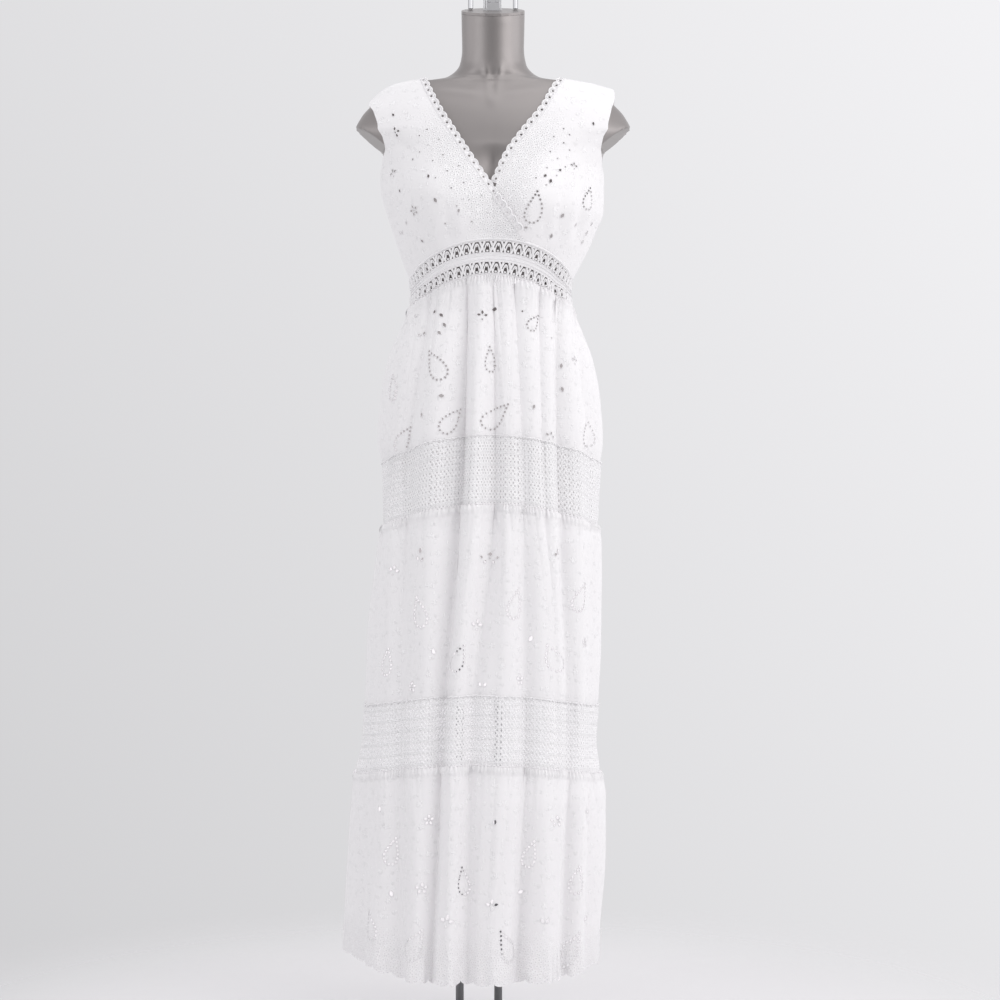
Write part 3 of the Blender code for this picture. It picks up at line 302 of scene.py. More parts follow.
def creased_by(creases, x, z, side=-1):
    """How far creases move places, by distance across from the form's middle and height."""
    move = np.zeros_like(x)
    for crease in creases:
        x0, x1 = -side * crease.x0, -side * crease.x1
        run = np.array([x1 - x0, crease.z1 - crease.z0])
        length = np.hypot(*run)
        along = ((x - x0) * run[0] + (z - crease.z0) * run[1]) / length**2
        off = ((x - x0) * run[1] - (z - crease.z0) * run[0]) / length
        taper = ramp(-0.15, 0.25, along) * (1 - ramp(0.55, 1.25, along))
        move += crease.out * taper * np.exp(-0.5 * (off / crease.width) ** 2)
    return move


def bust(x, z, front_share, size):
    """How far the front is pushed out, by two mounds of a general figure."""
    across = (np.abs(x - FORM_X) - BUST_X) / BUST_WIDTH
    up = (z - BUST_Z) / BUST_HEIGHT
    return size * np.exp(-0.5 * (across**2 + up**2)) * np.clip(front_share * 2, 0, 1)


def dress_size(name, z):
    """A size of the dress without its folds, at a height."""
    return smooth(column(DRESS, "z"), column(DRESS, name), z)


def plain_section(angle, z):
    """The dress without folds: points, and the outward directions of the section."""
    left, right, front, back = (dress_size(name, z) for name in ("left", "right", "front", "back"))
    half = (right - left) / 2
    sine, cosine = np.sin(angle), np.cos(angle)
    depth = np.where(cosine > 0, front, back)
    x = (left + right) / 2 + half * sine
    y = -depth * cosine - bust(x, z, cosine, DRESS_BUST)
    out = np.stack([sine / half, -cosine / depth], axis=-1)
    return np.stack([x, y, z + 0 * x], axis=-1), unit(out)


def fold_depth(x, angle, z):
    """How far the folds move the skirt out at a place."""
    heights = FOLD_HEIGHTS[::-1]
    at_front = np.zeros_like(x)
    sharp = ramp(0.70, 0.92, z)
    calm = 0.56 + 0.44 * ramp(0.45, 1.0, z)
    for fold in FOLDS:
        middle = smooth(heights, (fold.x_hem, fold.x_lace_2, fold.x_lace_1, fold.x_waist), z)
        out = smooth(heights, (fold.out_hem, fold.out_lace_2, fold.out_lace_1, fold.out_waist), z)
        width = np.where(x < middle, fold.to_right, fold.to_left)
        off = np.abs(x - middle) / width
        ridge = np.exp(-0.5 * off ** (2 + 0.3 * sharp))
        valley = np.exp(-(0.50 + 0.12 * sharp) * off ** (2 - 0.75 * sharp))
        at_front += out * calm * np.where(out > 0, ridge, valley)
    at_back = np.zeros_like(x)
    for wave in BACK_WAVES:
        at_back += wave.share * np.cos(wave.count * angle + wave.shift + 0.6 * np.sin(4 * z))
    at_back *= smooth(heights, BACK_DEPTHS[::-1], z)
    side_fade = ramp(0.0, 0.35, np.abs(np.cos(angle)))
    return np.where(np.cos(angle) > 0, at_front, at_back) * side_fade


def fold_middles(z):
    """Angles of the front folds' middles at given heights, with the side seams at the ends."""
    heights = FOLD_HEIGHTS[::-1]
    left, right = dress_size("left", z), dress_size("right", z)
    angles = [np.full_like(z, -math.pi / 2)]
    for fold in FOLDS:
        x = smooth(heights, (fold.x_hem, fold.x_lace_2, fold.x_lace_1, fold.x_waist), z)
        angles.append(np.arcsin(np.clip((2 * x - left - right) / (right - left), -1, 1)))
    angles.append(np.full_like(z, math.pi / 2))
    return np.stack(angles)


def front_angle(u, z):
    """Angle of a place from 0 to 1 across the front, along lines that run with the folds."""
    middles = fold_middles(z)
    at = np.clip(u, 0, 1) * (len(FOLDS) + 1)
    fold = np.minimum(at.astype(int), len(FOLDS))
    each = np.arange(len(z))
    return middles[fold, each] + (middles[fold + 1, each] - middles[fold, each]) * (at - fold)


def back_angle(u, z):
    """Angle of a place from 0 to 1 across the back."""
    return math.pi / 2 + u * math.pi


def ring_angle(u, z):
    """Angle of a place from 0 to 1 along a whole ring: the front, and then the back."""
    front_share = FRONT_COLUMNS / RING_COLUMNS
    front = front_angle(u / front_share, z)
    back = back_angle((u - front_share) / (1 - front_share), z)
    return np.where(u < front_share, front, back)


def skirt_surface(angle, z):
    """The skirt with its folds."""
    points, out = plain_section(angle, z)
    push = fold_depth(points[..., 0], angle, z) * (1 - ramp(1.150, 1.175, z))
    points[..., :2] += out * push[..., None]
    return points


def form_surface(angle, place):
    """The dress form, by angle and by place among its rings."""
    z, half, front, back = (
        smooth(np.arange(len(FORM)), column(FORM, name), place)
        for name in ("z", "half", "front", "back")
    )
    sine, cosine = np.sin(angle), np.cos(angle)
    x = half * sine
    y = -np.where(cosine > 0, front, back) * cosine
    cut = ARM_CUT[0] + np.maximum(z - ARM_CUT[1], 0) * ARM_CUT_SLOPE
    behind = back * np.sqrt(np.maximum(1 - (cut / half) ** 2, 0))
    cut = cut + ARM_CUT_TURN * np.minimum(y - behind, 0)
    x = np.where((z >= ARM_CUT[1] - 0.010) & (np.abs(x) > cut), np.sign(x) * cut, x)
    y = y - bust(x + FORM_X, z, cosine, FORM_BUST) - creased_by(FORM_RELIEF, x, z) * (cosine > 0)
    x = x + FORM_X
    y -= NECK_LEAN * ramp(NECK_FOOT_Z, FORM[-1].z, z)
    z = z - ramp(1.55, FORM[-1].z, z) * np.tan(CAP_TILT) * (-y - NECK_LEAN)
    return np.stack([x, y, z], axis=-1)


def slope_across(surface, a, b):
    """Outward unit direction of a surface at its own places (a, b)."""
    across = surface(a + STEP, b) - surface(a - STEP, b)
    up = surface(a, b + STEP) - surface(a, b - STEP)
    return unit(np.cross(across, up))


def level_below(out, z):
    """An outward direction, made level low on the body, so that seams keep their heights."""
    return unit(out * np.stack([0 * z + 1, 0 * z + 1, ramp(LEVEL_BELOW, FREE_ABOVE, z)], axis=-1))


# ---------------------------------------------------------------- the skirt's own surfaces

def skirt_piece(angle_of, top, foot):
    """Surface of (u, v) for a skirt piece from its foot seam, v = 0, to its top seam, v = 1."""
    def surface(u, v):
        seam_z = np.full_like(u, (top.side + foot.side + foot.rise) / 2)
        angle = angle_of(u, seam_z)
        for _ in range(SEAM_TRIES):
            high = seam_height(top, angle) - SEAM
            low = seam_height(foot, angle)
            z = low + (high - low) * v
            angle = angle_of(u, z)
        points = skirt_surface(angle, z)
        across = skirt_surface(angle + STEP, z) - skirt_surface(angle - STEP, z)
        out = np.stack([across[:, 1], -across[:, 0], 0 * z], axis=-1)
        return points, unit(out)

    return surface


def even_front(u, z):
    """Angle of a place across the front, evenly spaced."""
    return -math.pi / 2 + u * math.pi


HEIGHTS = np.linspace(BAND_TOP.side - 0.05, DRESS[-1].z, HEIGHTS_LOOKED_UP)
HALVES = (dress_size("right", HEIGHTS) - dress_size("left", HEIGHTS)) / 2


def down_from_neck(sizes):
    """Distances along an outline of the bodice, from the neck down to each of HEIGHTS."""
    steps = np.hypot(np.diff(sizes), np.diff(HEIGHTS))
    return sizes[-1] + np.append(np.cumsum(steps[::-1])[::-1], 0)


# The bodice spread flat, as seen from above with its sides and middle at their full lengths.
SPREAD_SIDE = down_from_neck(HALVES)
SPREAD_MIDDLE = {name: down_from_neck(dress_size(name, HEIGHTS)) for name in ("front", "back")}


def spread(name, angle, z):
    """Place on the flat spread of a point at an angle from the middle of the front or back."""
    across = np.interp(z, HEIGHTS, SPREAD_SIDE) * np.sin(angle)
    return across, np.interp(z, HEIGHTS, SPREAD_MIDDLE[name]) * np.cos(angle)


def unspread(name, across, along):
    """Angle and height of a place on the flat spread."""
    low, high = np.full_like(across, HEIGHTS[0]), np.full_like(across, HEIGHTS[-1])
    for _ in range(HALVINGS):
        z = (low + high) / 2
        x = across / np.interp(z, HEIGHTS, SPREAD_SIDE)
        y = along / np.interp(z, HEIGHTS, SPREAD_MIDDLE[name])
        lower = x * x + y * y > 1
        low, high = np.where(lower, low, z), np.where(lower, z, high)
    return np.arctan2(x, y), z


def angle_at(x, z):
    """Angle from the middle of a place at a distance across from the form's middle."""
    off = x + FORM_X - (dress_size("left", z) + dress_size("right", z)) / 2
    return np.arcsin(np.clip(off / np.interp(z, HEIGHTS, HALVES), -1, 1))


def on_edge(rows, share):
    """Angle and height at a share, 0 to 1, of the way up an edge given by height."""
    z = np.linspace(rows[0].z, rows[-1].z, HEIGHTS_LOOKED_UP)
    angle = angle_at(smooth(column(rows, "z"), column(rows, "x"), z), z)
    steps = np.linalg.norm(np.diff(section_point(angle, z), axis=0), axis=1)
    lengths = np.append(0, np.cumsum(steps))
    z = np.interp(share * lengths[-1], lengths, z)
    return angle_at(smooth(column(rows, "z"), column(rows, "x"), z), z), z


def shoulder_seam(share):
    """Height of the shoulder seam, from the neck, 0, to the outer end, 1."""
    upper = HEIGHTS > SHOULDER_TIP - 0.01
    return np.interp(
        -NECK_SIDE - (SHOULDER_END - NECK_SIDE) * share, -HALVES[upper], HEIGHTS[upper]
    )


def side_edge(v, name):
    """Angle from the middle, and height, up the side seam and then round the armhole."""
    on_seam = v < SIDE_SEAM_SHARE
    up_seam = BAND_TOP.side + SEAM + (ARMHOLE_FOOT - BAND_TOP.side - SEAM) * v / SIDE_SEAM_SHARE
    t = (v - SIDE_SEAM_SHARE) / (1 - SIDE_SEAM_SHARE)
    tip = shoulder_seam(np.ones(1))
    up_hole = ARMHOLE_FOOT + (tip - ARMHOLE_FOOT) * t
    inset = smooth(column(ARMHOLE, "share"), column(ARMHOLE, name), t)
    angle = math.pi / 2 - np.radians(np.where(on_seam, 0, inset))
    return angle, np.where(on_seam, up_seam, up_hole)


def between_edges(name, u, v, left, right, foot, top, join):
    """Angle and height inside four edges, each a function of its own share.

    The edges are joined by angle and height low down, and by the shoulders on the bodice
    spread flat. The bows of the left and right edges fade towards the middle.
    """
    near = np.abs(2 * u - 1) ** join.fade
    zero, one = np.zeros_like(u), np.ones_like(u)
    edges = (left(v), right(v), foot(u), top(u), left(zero), right(zero), left(one), right(one))

    def joined(sides):
        return (
            (1 - u) * (a * near + (e + (g - e) * v) * (1 - near))
            + u * (b * near + (f + (h - f) * v) * (1 - near)) + (1 - v) * c + v * d
            - (1 - u) * (1 - v) * e - u * (1 - v) * f - (1 - u) * v * g - u * v * h
            for a, b, c, d, e, f, g, h in zip(*sides)
        )

    low_angle, low_z = joined(edges)
    high_angle, high_z = unspread(name, *joined([spread(name, *edge) for edge in edges]))
    share = ramp(join.low, join.high, v)
    return low_angle + (high_angle - low_angle) * share, low_z + (high_z - low_z) * share


def section_point(angle, z):
    """A point of the dress without its folds."""
    return plain_section(angle, z)[0]


def front_panel(edge, side, lift):
    """Surface of (u, v) of a front: u from its neck edge outwards, v from the waist up."""
    def outer(v):
        angle, z = side_edge(v, "front")
        return side * angle, z

    def foot(u):
        start, end = on_edge(edge, 0 * u)[0], side * math.pi / 2
        angle = start + (end - start) * u
        return angle, seam_height(BAND_TOP, angle) + SEAM

    def top(u):
        return np.full_like(u, side * math.pi / 2), shoulder_seam(u)

    def surface(u, v):
        angle, z = between_edges("front", u, v, lambda t: on_edge(edge, t), outer, foot, top,
                                 FRONT_JOIN)
        out = level_below(slope_across(section_point, angle, z), z)
        share = (1 - ramp(*LIFT_FADE, -angle)) * (0.25 + 0.75 * ramp(0.0, 0.10, v))
        return section_point(angle, z) + out * (lift * share)[..., None], out

    return surface


def back_neck(share):
    """Angle and height along the back neckline, from 0 to 1: half an ellipse on the spread."""
    high = shoulder_seam(np.zeros(1))
    half = np.interp(high, HEIGHTS, SPREAD_SIDE)
    depth = np.interp(high - BACK_NECK_DEPTH, HEIGHTS, SPREAD_MIDDLE["back"])
    turn = math.pi * (share - 0.5)
    return unspread("back", half * np.sin(turn), depth * np.cos(turn))


def back_panel():
    """Surface of (u, v) of the back: u from the dress's right to its left, v up."""
    def sides(sign):
        def edge(v):
            angle, z = side_edge(v, "back")
            return sign * angle, z
        return edge

    def foot(u):
        return (2 * u - 1) * math.pi / 2, np.full_like(u, BAND_TOP.side + SEAM)

    def top(u):
        outward = np.clip(1 - np.minimum(u, 1 - u) / BACK_SHOULDER_SHARE, 0, 1)
        along = np.clip((u - BACK_SHOULDER_SHARE) / (1 - 2 * BACK_SHOULDER_SHARE), 0, 1)
        neck_angle, neck_z = back_neck(along)
        on_seam = np.abs(2 * along - 1) > 1 - STEP
        angle = np.where(on_seam, np.sign(2 * u - 1) * math.pi / 2, neck_angle)
        return angle, np.where(on_seam, shoulder_seam(outward), neck_z)

    def surface(u, v):
        angle, z = between_edges("back", u, v, sides(-1), sides(1), foot, top, BACK_JOIN)
        out = level_below(slope_across(section_point, math.pi - angle, z), z)
        return section_point(math.pi - angle, z), out

    return surface


def depth_at(points):
    """y of the dress without folds at each point's x and height, on the point's own side."""
    angle = angle_at(points[:, 0] - FORM_X, points[:, 2])
    return section_point(np.where(points[:, 1] < 0, angle, math.pi - angle), points[:, 2])[:, 1]


# ---------------------------------------------------------------- creases and gathers

CREASES = [
    Crease(0.098, 1.225, 0.112, 1.330, 0.0050, -0.0022),
    Crease(0.112, 1.215, 0.128, 1.300, 0.0045, 0.0018),
    Crease(0.128, 1.222, 0.142, 1.322, 0.0050, -0.0024),
    Crease(0.140, 1.240, 0.158, 1.350, 0.0060, 0.0018),
    Crease(0.076, 1.222, 0.080, 1.262, 0.0040, -0.0013),
    Crease(0.060, 1.232, 0.054, 1.275, 0.0040, 0.0011),
    Crease(-0.020, 1.232, -0.012, 1.282, 0.0045, -0.0012),
    Crease(-0.048, 1.222, -0.050, 1.290, 0.0050, 0.0015),
    Crease(-0.064, 1.216, -0.072, 1.280, 0.0045, -0.0020),
    Crease(-0.082, 1.206, -0.090, 1.262, 0.0045, 0.0014),
    Crease(-0.100, 1.200, -0.108, 1.276, 0.0050, -0.0020),
    Crease(-0.122, 1.200, -0.130, 1.290, 0.0055, 0.0016),
    Crease(-0.140, 1.255, -0.150, 1.345, 0.0060, -0.0016),
    Crease(-0.118, 1.350, -0.160, 1.392, 0.0070, -0.0016),
    Crease(0.122, 1.352, 0.164, 1.396, 0.0070, -0.0016),
]


def creased(points, side):
    """How far the bodice's creases move points, on the front, -1, or on the back, 1."""
    return creased_by(CREASES, points[:, 0] - FORM_X, points[:, 2], side)


def gathers(s, below, girth, pitch, reach, depth, seed):
    """Uneven round folds with sharp valleys that hang from a seam.

    s is the distance along the seam, and below the distance under it.
    """
    count = int(round(girth / pitch))
    each = np.arange(count)
    shift, size, length = (0.5 + 0.5 * np.sin(each * step + seed * more)
                           for step, more in ((2.399, 1), (3.883, 2), (5.17, 1)))
    valley = (each + 0.62 * (shift - 0.5)) * girth / count
    valley = np.concatenate([valley[-1:] - girth, valley, valley[:1] + girth])
    sway = s + 0.10 * below * np.sin(3 * math.tau * s / girth + seed)
    place = np.clip(np.searchsorted(valley, sway, side="right") - 1, 0, count)
    across = np.clip((sway - valley[place]) / (valley[place + 1] - valley[place]), 0, 1)
    fold = (place - 1) % count
    fade = np.exp(-((below / (reach * (0.25 + 0.75 * length[fold] ** 2))) ** 1.5))
    fade *= 0.4 + 0.6 * ramp(0, 0.010, below)
    return depth * (0.45 + 0.55 * size[fold]) * fade * np.sin(math.pi * across) ** 0.7


# ---------------------------------------------------------------- patterns of eyelets

# A hole: its place (u, v) on the piece, half length, half width, tilt from upright in degrees,
# and whether its ends are pointed.
Hole = namedtuple("Hole", "u v length width tilt pointed")
# A motif: middle across and up, kind, size as a share of the usual one, and tilt in degrees.
Motif = namedtuple("Motif", "x z kind size tilt")

DROP_HALF_WIDTH, DROP_HALF_LENGTH = 0.0148, 0.0255
PAIR_REACH = 0.0055         # from a motif's middle to its leaves
SPRIG_REACH = 0.0075
SPRIG_STEM = -0.0065
FLOWER_REACH = 0.0062
DROP_HOLES = 19             # in a drop of the usual size
DOT = 0.0016                # half width of a round eyelet
SMALL_DOT = DOT * 0.8
DROP_DOT = 0.0020
SQUEEZED = 0.045            # a hole wider than this share of its piece lies where it is squeezed


def drop_ring(count):
    """Round eyelets evenly along a teardrop, its point up."""
    turn = np.linspace(0, 2 * math.pi, 400)
    x = DROP_HALF_WIDTH * 1.25 * np.sin(turn) * np.sin(turn / 2) ** 1.4
    y = DROP_HALF_LENGTH * np.cos(turn)
    gone = np.append(0, np.cumsum(np.hypot(np.diff(x), np.diff(y))))
    at = np.arange(count) / count * gone[-1]
    return np.stack([np.interp(at, gone, x), np.interp(at, gone, y)], axis=-1)


def leaves_round(turns, reach, length, width):
    """Pointed eyelets round a motif's middle, each pointing away from it."""
    return [(reach * math.sin(turn), reach * math.cos(turn), length, width,
             math.degrees(turn), 1) for turn in turns]


def motif_holes(kind, size):
    """Holes of a motif about its middle: rows of across, up, length, width, tilt, pointed."""
    if kind == "drop":
        dot = DROP_DOT / size ** 0.5
        return [(x, y, dot, dot, 0, 0) for x, y in drop_ring(round(DROP_HOLES * size ** 0.8))]
    if kind == "leaf":
        return [(0, 0, 0.0048, 0.0029, 0, 1)]
    if kind == "pair":
        return [(side * PAIR_REACH, 0, 0.0046, 0.0025, side * 32, 1) for side in (-1, 1)]
    if kind == "sprig":
        return [*leaves_round((-1.25, 0.0, 1.25), SPRIG_REACH, 0.0042, 0.0026),
                (0, SPRIG_STEM, DOT, DOT, 0, 0)]
    if kind == "flower":
        return [*leaves_round(np.arange(5) * math.tau / 5, FLOWER_REACH, 0.0033, 0.0021),
                (0, 0, SMALL_DOT, SMALL_DOT, 0, 0)]
    return [(0, 0, DOT, DOT, 0, 0)]


def outline(length, width, pointed, turn):
    """Distance from a hole's middle to its edge, at turns from its length."""
    c, s = np.abs(np.cos(turn)), np.abs(np.sin(turn))
    bend = width / length**2 * c * c
    leaf = (-s + np.sqrt(s * s + 4 * width * bend)) / (2 * np.maximum(bend, 1e-9))
    leaf = np.where(bend < 1e-4 * width / length**2, width / np.maximum(s, 1e-6), leaf)
    return np.where(pointed > 0, leaf, length + 0 * turn)


def metric(surface, u, v):
    """For each place, the matrix from a small step (du, dv) to metres across and up."""
    h = 4e-4
    across = (surface(u + h, v) - surface(u - h, v)) / (2 * h)
    up = (surface(u, v + h) - surface(u, v - h)) / (2 * h)
    e_up = unit(up)
    e_across = across - e_up * (across * e_up).sum(axis=1, keepdims=True)
    e_across = unit(e_across)
    flip = np.sign(e_across[:, :1] + 1e-9)      # across is towards the dress's left at the front
    e_across = e_across * flip
    made = np.zeros((len(u), 2, 2))
    made[:, 0, 0] = (across * e_across).sum(axis=1)
    made[:, 1, 0] = (across * e_up).sum(axis=1)
    made[:, 1, 1] = (up * e_up).sum(axis=1)
    return made


def places_seen(surface, x, z):
    """(u, v) on a piece of places across and up, as seen from the front or the back."""
    grid = np.linspace(0.01, 0.99, 90)
    u, v = (a.ravel() for a in np.meshgrid(grid, grid))
    points = surface(u, v)
    front = np.mean(points[:, 1]) < 0
    spots_u, spots_v = [], []
    for px, pz in zip(x, z):
        off = np.hypot(points[:, 0] - px, points[:, 2] - pz)
        off += 0.05 * (points[:, 1] > 0) if front else 0.05 * (points[:, 1] < 0)
        best = int(np.argmin(off))
        spots_u.append(u[best])
        spots_v.append(v[best])
    return np.array(spots_u), np.array(spots_v)


def holes_of(surface, motifs):
    """Every hole of a piece's motifs, on its own (u, v)."""
    x = np.array([m.x for m in motifs])
    z = np.array([m.z for m in motifs])
    u, v = places_seen(surface, x, z)
    return holes_at(surface, u, v, motifs)


def sound(surface, holes):
    """The holes that lie where a piece isn't squeezed to a point."""
    if not holes:
        return []
    table = np.array([tuple(hole) for hole in holes], float)
    stretch = np.abs(np.linalg.inv(metric(surface, table[:, 0], table[:, 1]))).max(axis=(1, 2))
    return [hole for hole, size in zip(holes, stretch * table[:, 2]) if size < SQUEEZED]


def holes_at(surface, u, v, motifs):
    """Every hole of motifs whose middles are at (u, v)."""
    matrices = metric(surface, u, v)
    made = []
    for place_u, place_v, matrix, motif in zip(u, v, matrices, motifs):
        to_piece = np.linalg.inv(matrix)
        tilt = math.radians(motif.tilt)
        across = np.array([math.cos(tilt), -math.sin(tilt)])
        along = np.array([math.sin(tilt), math.cos(tilt)])
        for a, b, length, width, turn, pointed in motif_holes(motif.kind, motif.size):
            step = to_piece @ ((a * across + b * along) * motif.size)
            spot = (place_u + step[0], place_v + step[1])
            if 0.012 < spot[0] < 0.988 and 0.02 < spot[1] < 0.98:
                made.append(Hole(*spot, length * motif.size, width * motif.size,
                                 turn + motif.tilt, pointed))
    return sound(surface, made)


# ---------------------------------------------------------------- sheets of cloth

def flat_grid(columns, rows):
    """A flat grid from 0 to 1 both ways."""
    bm = bmesh.new()
    bmesh.ops.create_grid(bm, x_segments=columns, y_segments=rows, size=0.5)
    bmesh.ops.translate(bm, verts=bm.verts[:], vec=(0.5, 0.5, 0))
    return bm


def faces_near(middle, reach, count):
    """Numbers of the faces within reach of a place, but for those at the piece's edges."""
    first, last = int((middle - reach) * count) - 1, int((middle + reach) * count) + 2
    return range(max(first, 1), min(last, count - 1))


def punch(bm, columns, rows, surface, holes):
    """Take out a flat pattern's faces inside each hole, and draw their edge onto its outline."""
    if not holes:
        return
    table = np.array([tuple(hole) for hole in holes], float)
    matrices = metric(surface, table[:, 0], table[:, 1])
    gone, moved = set(), {}
    for row, matrix in zip(table, matrices):
        u, v, length, width, tilt, pointed = row
        to_piece = np.linalg.inv(matrix)
        reach = np.abs(to_piece) @ np.array([length, length])
        faces = [(i, j) for i in faces_near(u, reach[0], columns)
                 for j in faces_near(v, reach[1], rows)]
        if not faces:
            continue
        middles = (np.array(faces) + 0.5) / (columns, rows) - (u, v)
        local = middles @ matrix.T
        turn = np.arctan2(local[:, 0], local[:, 1]) - math.radians(tilt)
        share = np.hypot(*local.T) / outline(length, width, pointed, turn)
        chosen = {faces[k] for k in np.nonzero(share < 0.92)[0]} or {faces[int(np.argmin(share))]}
        gone |= chosen
        corners = {(i + a, j + b) for i, j in chosen for a in (0, 1) for b in (0, 1)}
        for i, j in corners:
            off = matrix @ (np.array([i / columns, j / rows]) - (u, v))
            turn = math.atan2(off[0], off[1])
            radius = float(outline(length, width, pointed, np.array(turn - math.radians(tilt))))
            moved[i, j] = (u, v) + to_piece @ (radius * np.array([math.sin(turn), math.cos(turn)]))
    inside = []
    for face in bm.faces:
        middle = face.calc_center_median()
        if (int(middle.x * columns), int(middle.y * rows)) in gone:
            inside.append(face)
    bmesh.ops.delete(bm, geom=inside, context="FACES")
    for vert in bm.verts:
        spot = moved.get((round(vert.co.x * columns), round(vert.co.y * rows)))
        if spot is not None:
            vert.co = (spot[0], spot[1], 0)


def facing(points, across, up):
    """Outward unit directions of a piece."""
    out = unit(np.cross(across, up))
    sign = np.sign(np.mean((out[:, :2] * (points[:, :2] - BODY_AXIS)).sum(axis=1)))
    return out * sign, sign


def skin(surface, u, v):
    """Points of a piece and its outward directions there."""
    h = 6e-4
    points = surface(u, v)
    across = surface(np.minimum(u + h, 1), v) - surface(np.maximum(u - h, 0), v)
    up = surface(u, np.minimum(v + h, 1)) - surface(u, np.maximum(v - h, 0))
    return points, facing(points, across, up)


def sizes_of(surface):
    """A piece's own width along its middle, and its height."""
    line = surface(np.linspace(0, 1, 1200), np.full(1200, 0.5))
    width = float(np.linalg.norm(np.diff(line, axis=0), axis=1).sum())
    heights = []
    for u in (0.1, 0.35, 0.6, 0.85):
        line = surface(np.full(80, u), np.linspace(0, 1, 80))
        heights.append(float(np.linalg.norm(np.diff(line, axis=0), axis=1).sum()))
    return width, float(np.mean(heights))


def cloth(name, surface, columns, rows, coat, charted, holes=(), closed=False, trim=None):
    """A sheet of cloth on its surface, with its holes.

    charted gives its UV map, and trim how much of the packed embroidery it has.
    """
    columns, rows = max(columns // COARSE, 4), max(rows // COARSE, 2)
    bm = flat_grid(columns, rows)
    punch(bm, columns, rows, surface, list(holes))
    mesh = bpy.data.meshes.new(name)
    bm.to_mesh(mesh)
    bm.free()
    flat = np.empty(len(mesh.vertices) * 3, np.float32)
    mesh.vertices.foreach_get("co", flat)
    u, v, _ = np.clip(flat.reshape(-1, 3).astype(float), 0, 1).T
    points = surface(u, v)
    mesh.vertices.foreach_set("co", points.astype(np.float32).ravel())
    loops = np.empty(len(mesh.loops), np.int32)
    mesh.loops.foreach_get("vertex_index", loops)
    chart = charted(u, v, points)
    layer = mesh.uv_layers.new(name="cloth")
    layer.data.foreach_set("uv", chart[loops].astype(np.float32).ravel())
    shade = mesh.attributes.new("trim", "FLOAT", "POINT")
    packed = 0 * u if trim is None else trim(u, v)
    shade.data.foreach_set("value", packed.astype(np.float32))
    probe = slice(0, len(u), max(len(u) // 500, 1))
    _, (_, sign) = skin(surface, u[probe], v[probe])
    bm = bmesh.new()
    bm.from_mesh(mesh)
    if closed:
        rim = [vert for vert, at in zip(bm.verts, u) if at < 1e-6 or at > 1 - 1e-6]
        bmesh.ops.remove_doubles(bm, verts=rim, dist=1e-5)
    if sign < 0:
        bmesh.ops.reverse_faces(bm, faces=bm.faces[:])
    bm.to_mesh(mesh)
    bm.free()
    mesh.shade_smooth()
    mesh.update()
    made = bpy.data.objects.new(name, mesh)
    bpy.context.collection.objects.link(made)
    mesh.materials.append(coat)
    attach(made, "root")
    return made


# ---------------------------------------------------------------- cords and stitches

def cords(name, runs, radius, coat, closed=False, turns=0):
    """Round cords along runs of points, as one mesh."""
    curve = bpy.data.curves.new(name, "CURVE")
    curve.dimensions = "3D"
    curve.bevel_depth = radius
    curve.bevel_resolution = turns
    curve.use_fill_caps = not closed
    for run in runs:
        spline = curve.splines.new("POLY")
        spline.points.add(len(run) - 1)
        spline.points.foreach_set("co", np.column_stack([run, np.ones(len(run))]).ravel())
        spline.use_cyclic_u = closed
    drawn = bpy.data.objects.new(name + "_drawn", curve)
    bpy.context.collection.objects.link(drawn)
    graph = bpy.context.evaluated_depsgraph_get()
    mesh = bpy.data.meshes.new_from_object(drawn.evaluated_get(graph))
    bpy.data.objects.remove(drawn)
    bpy.data.curves.remove(curve)
    mesh.name = name
    mesh.materials.clear()
    mesh.materials.append(coat)
    mesh.shade_smooth()
    made = bpy.data.objects.new(name, mesh)
    bpy.context.collection.objects.link(made)
    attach(made, "root")
    return made


def on_piece(surface, u, v, lift):
    """Points just outside a piece."""
    shape = np.shape(u)
    points, (out, _) = skin(surface, np.ravel(u), np.ravel(v))
    return (points + out * lift).reshape(*shape, 3)


# Stitched rims: round a pointed hole or a round one, name, thread radius, and points in a rim.
RimKind = namedtuple("RimKind", "pointed label radius count")
RIM_KINDS = (RimKind(0, "dots", 0.00042, 9), RimKind(1, "leaves", 0.00060, 16))


def rims(name, surface, holes, coat):
    """Satin rims round every hole of a piece: small round holes, and leaves."""
    made = []
    for pointed, label, radius, count in RIM_KINDS:
        chosen = [hole for hole in holes if hole.pointed == pointed]
        if not chosen:
            continue
        table = np.array([tuple(hole) for hole in chosen], float)
        inverse = np.linalg.inv(metric(surface, table[:, 0], table[:, 1]))
        turn = np.linspace(0, math.tau, count, endpoint=False)[None, :]
        radius_at = outline(table[:, 2:3], table[:, 3:4], pointed, turn) + radius * 0.4
        tilt = turn + np.radians(table[:, 4:5])
        local = np.stack([radius_at * np.sin(tilt), radius_at * np.cos(tilt)], axis=-1)
        step = np.einsum("kij,knj->kni", inverse, local)
        u, v = table[:, None, 0] + step[..., 0], table[:, None, 1] + step[..., 1]
        runs = on_piece(surface, np.clip(u, 0, 1), np.clip(v, 0, 1), radius * 0.5)
        made.append(cords(f"{name}_{label}", runs, radius, coat, closed=True, turns=pointed))
    return made


# ---------------------------------------------------------------- materials

def add(tree, kind, *values, **settings):
    """A node with its settings, and its inputs in order: sockets or numbers."""
    made = tree.nodes.new("ShaderNode" + kind)
    for key, value in settings.items():
        setattr(made, key, value)
    for slot, value in zip(made.inputs, values):
        if value is None:
            continue
        if isinstance(value, bpy.types.NodeSocket):
            tree.links.new(value, slot)
        else:
            slot.default_value = value
    return made


def maths(tree, operation, a, b=0.0, c=0.0, clamp=False):
    return add(tree, "Math", a, b, c, operation=operation, use_clamp=clamp).outputs[0]


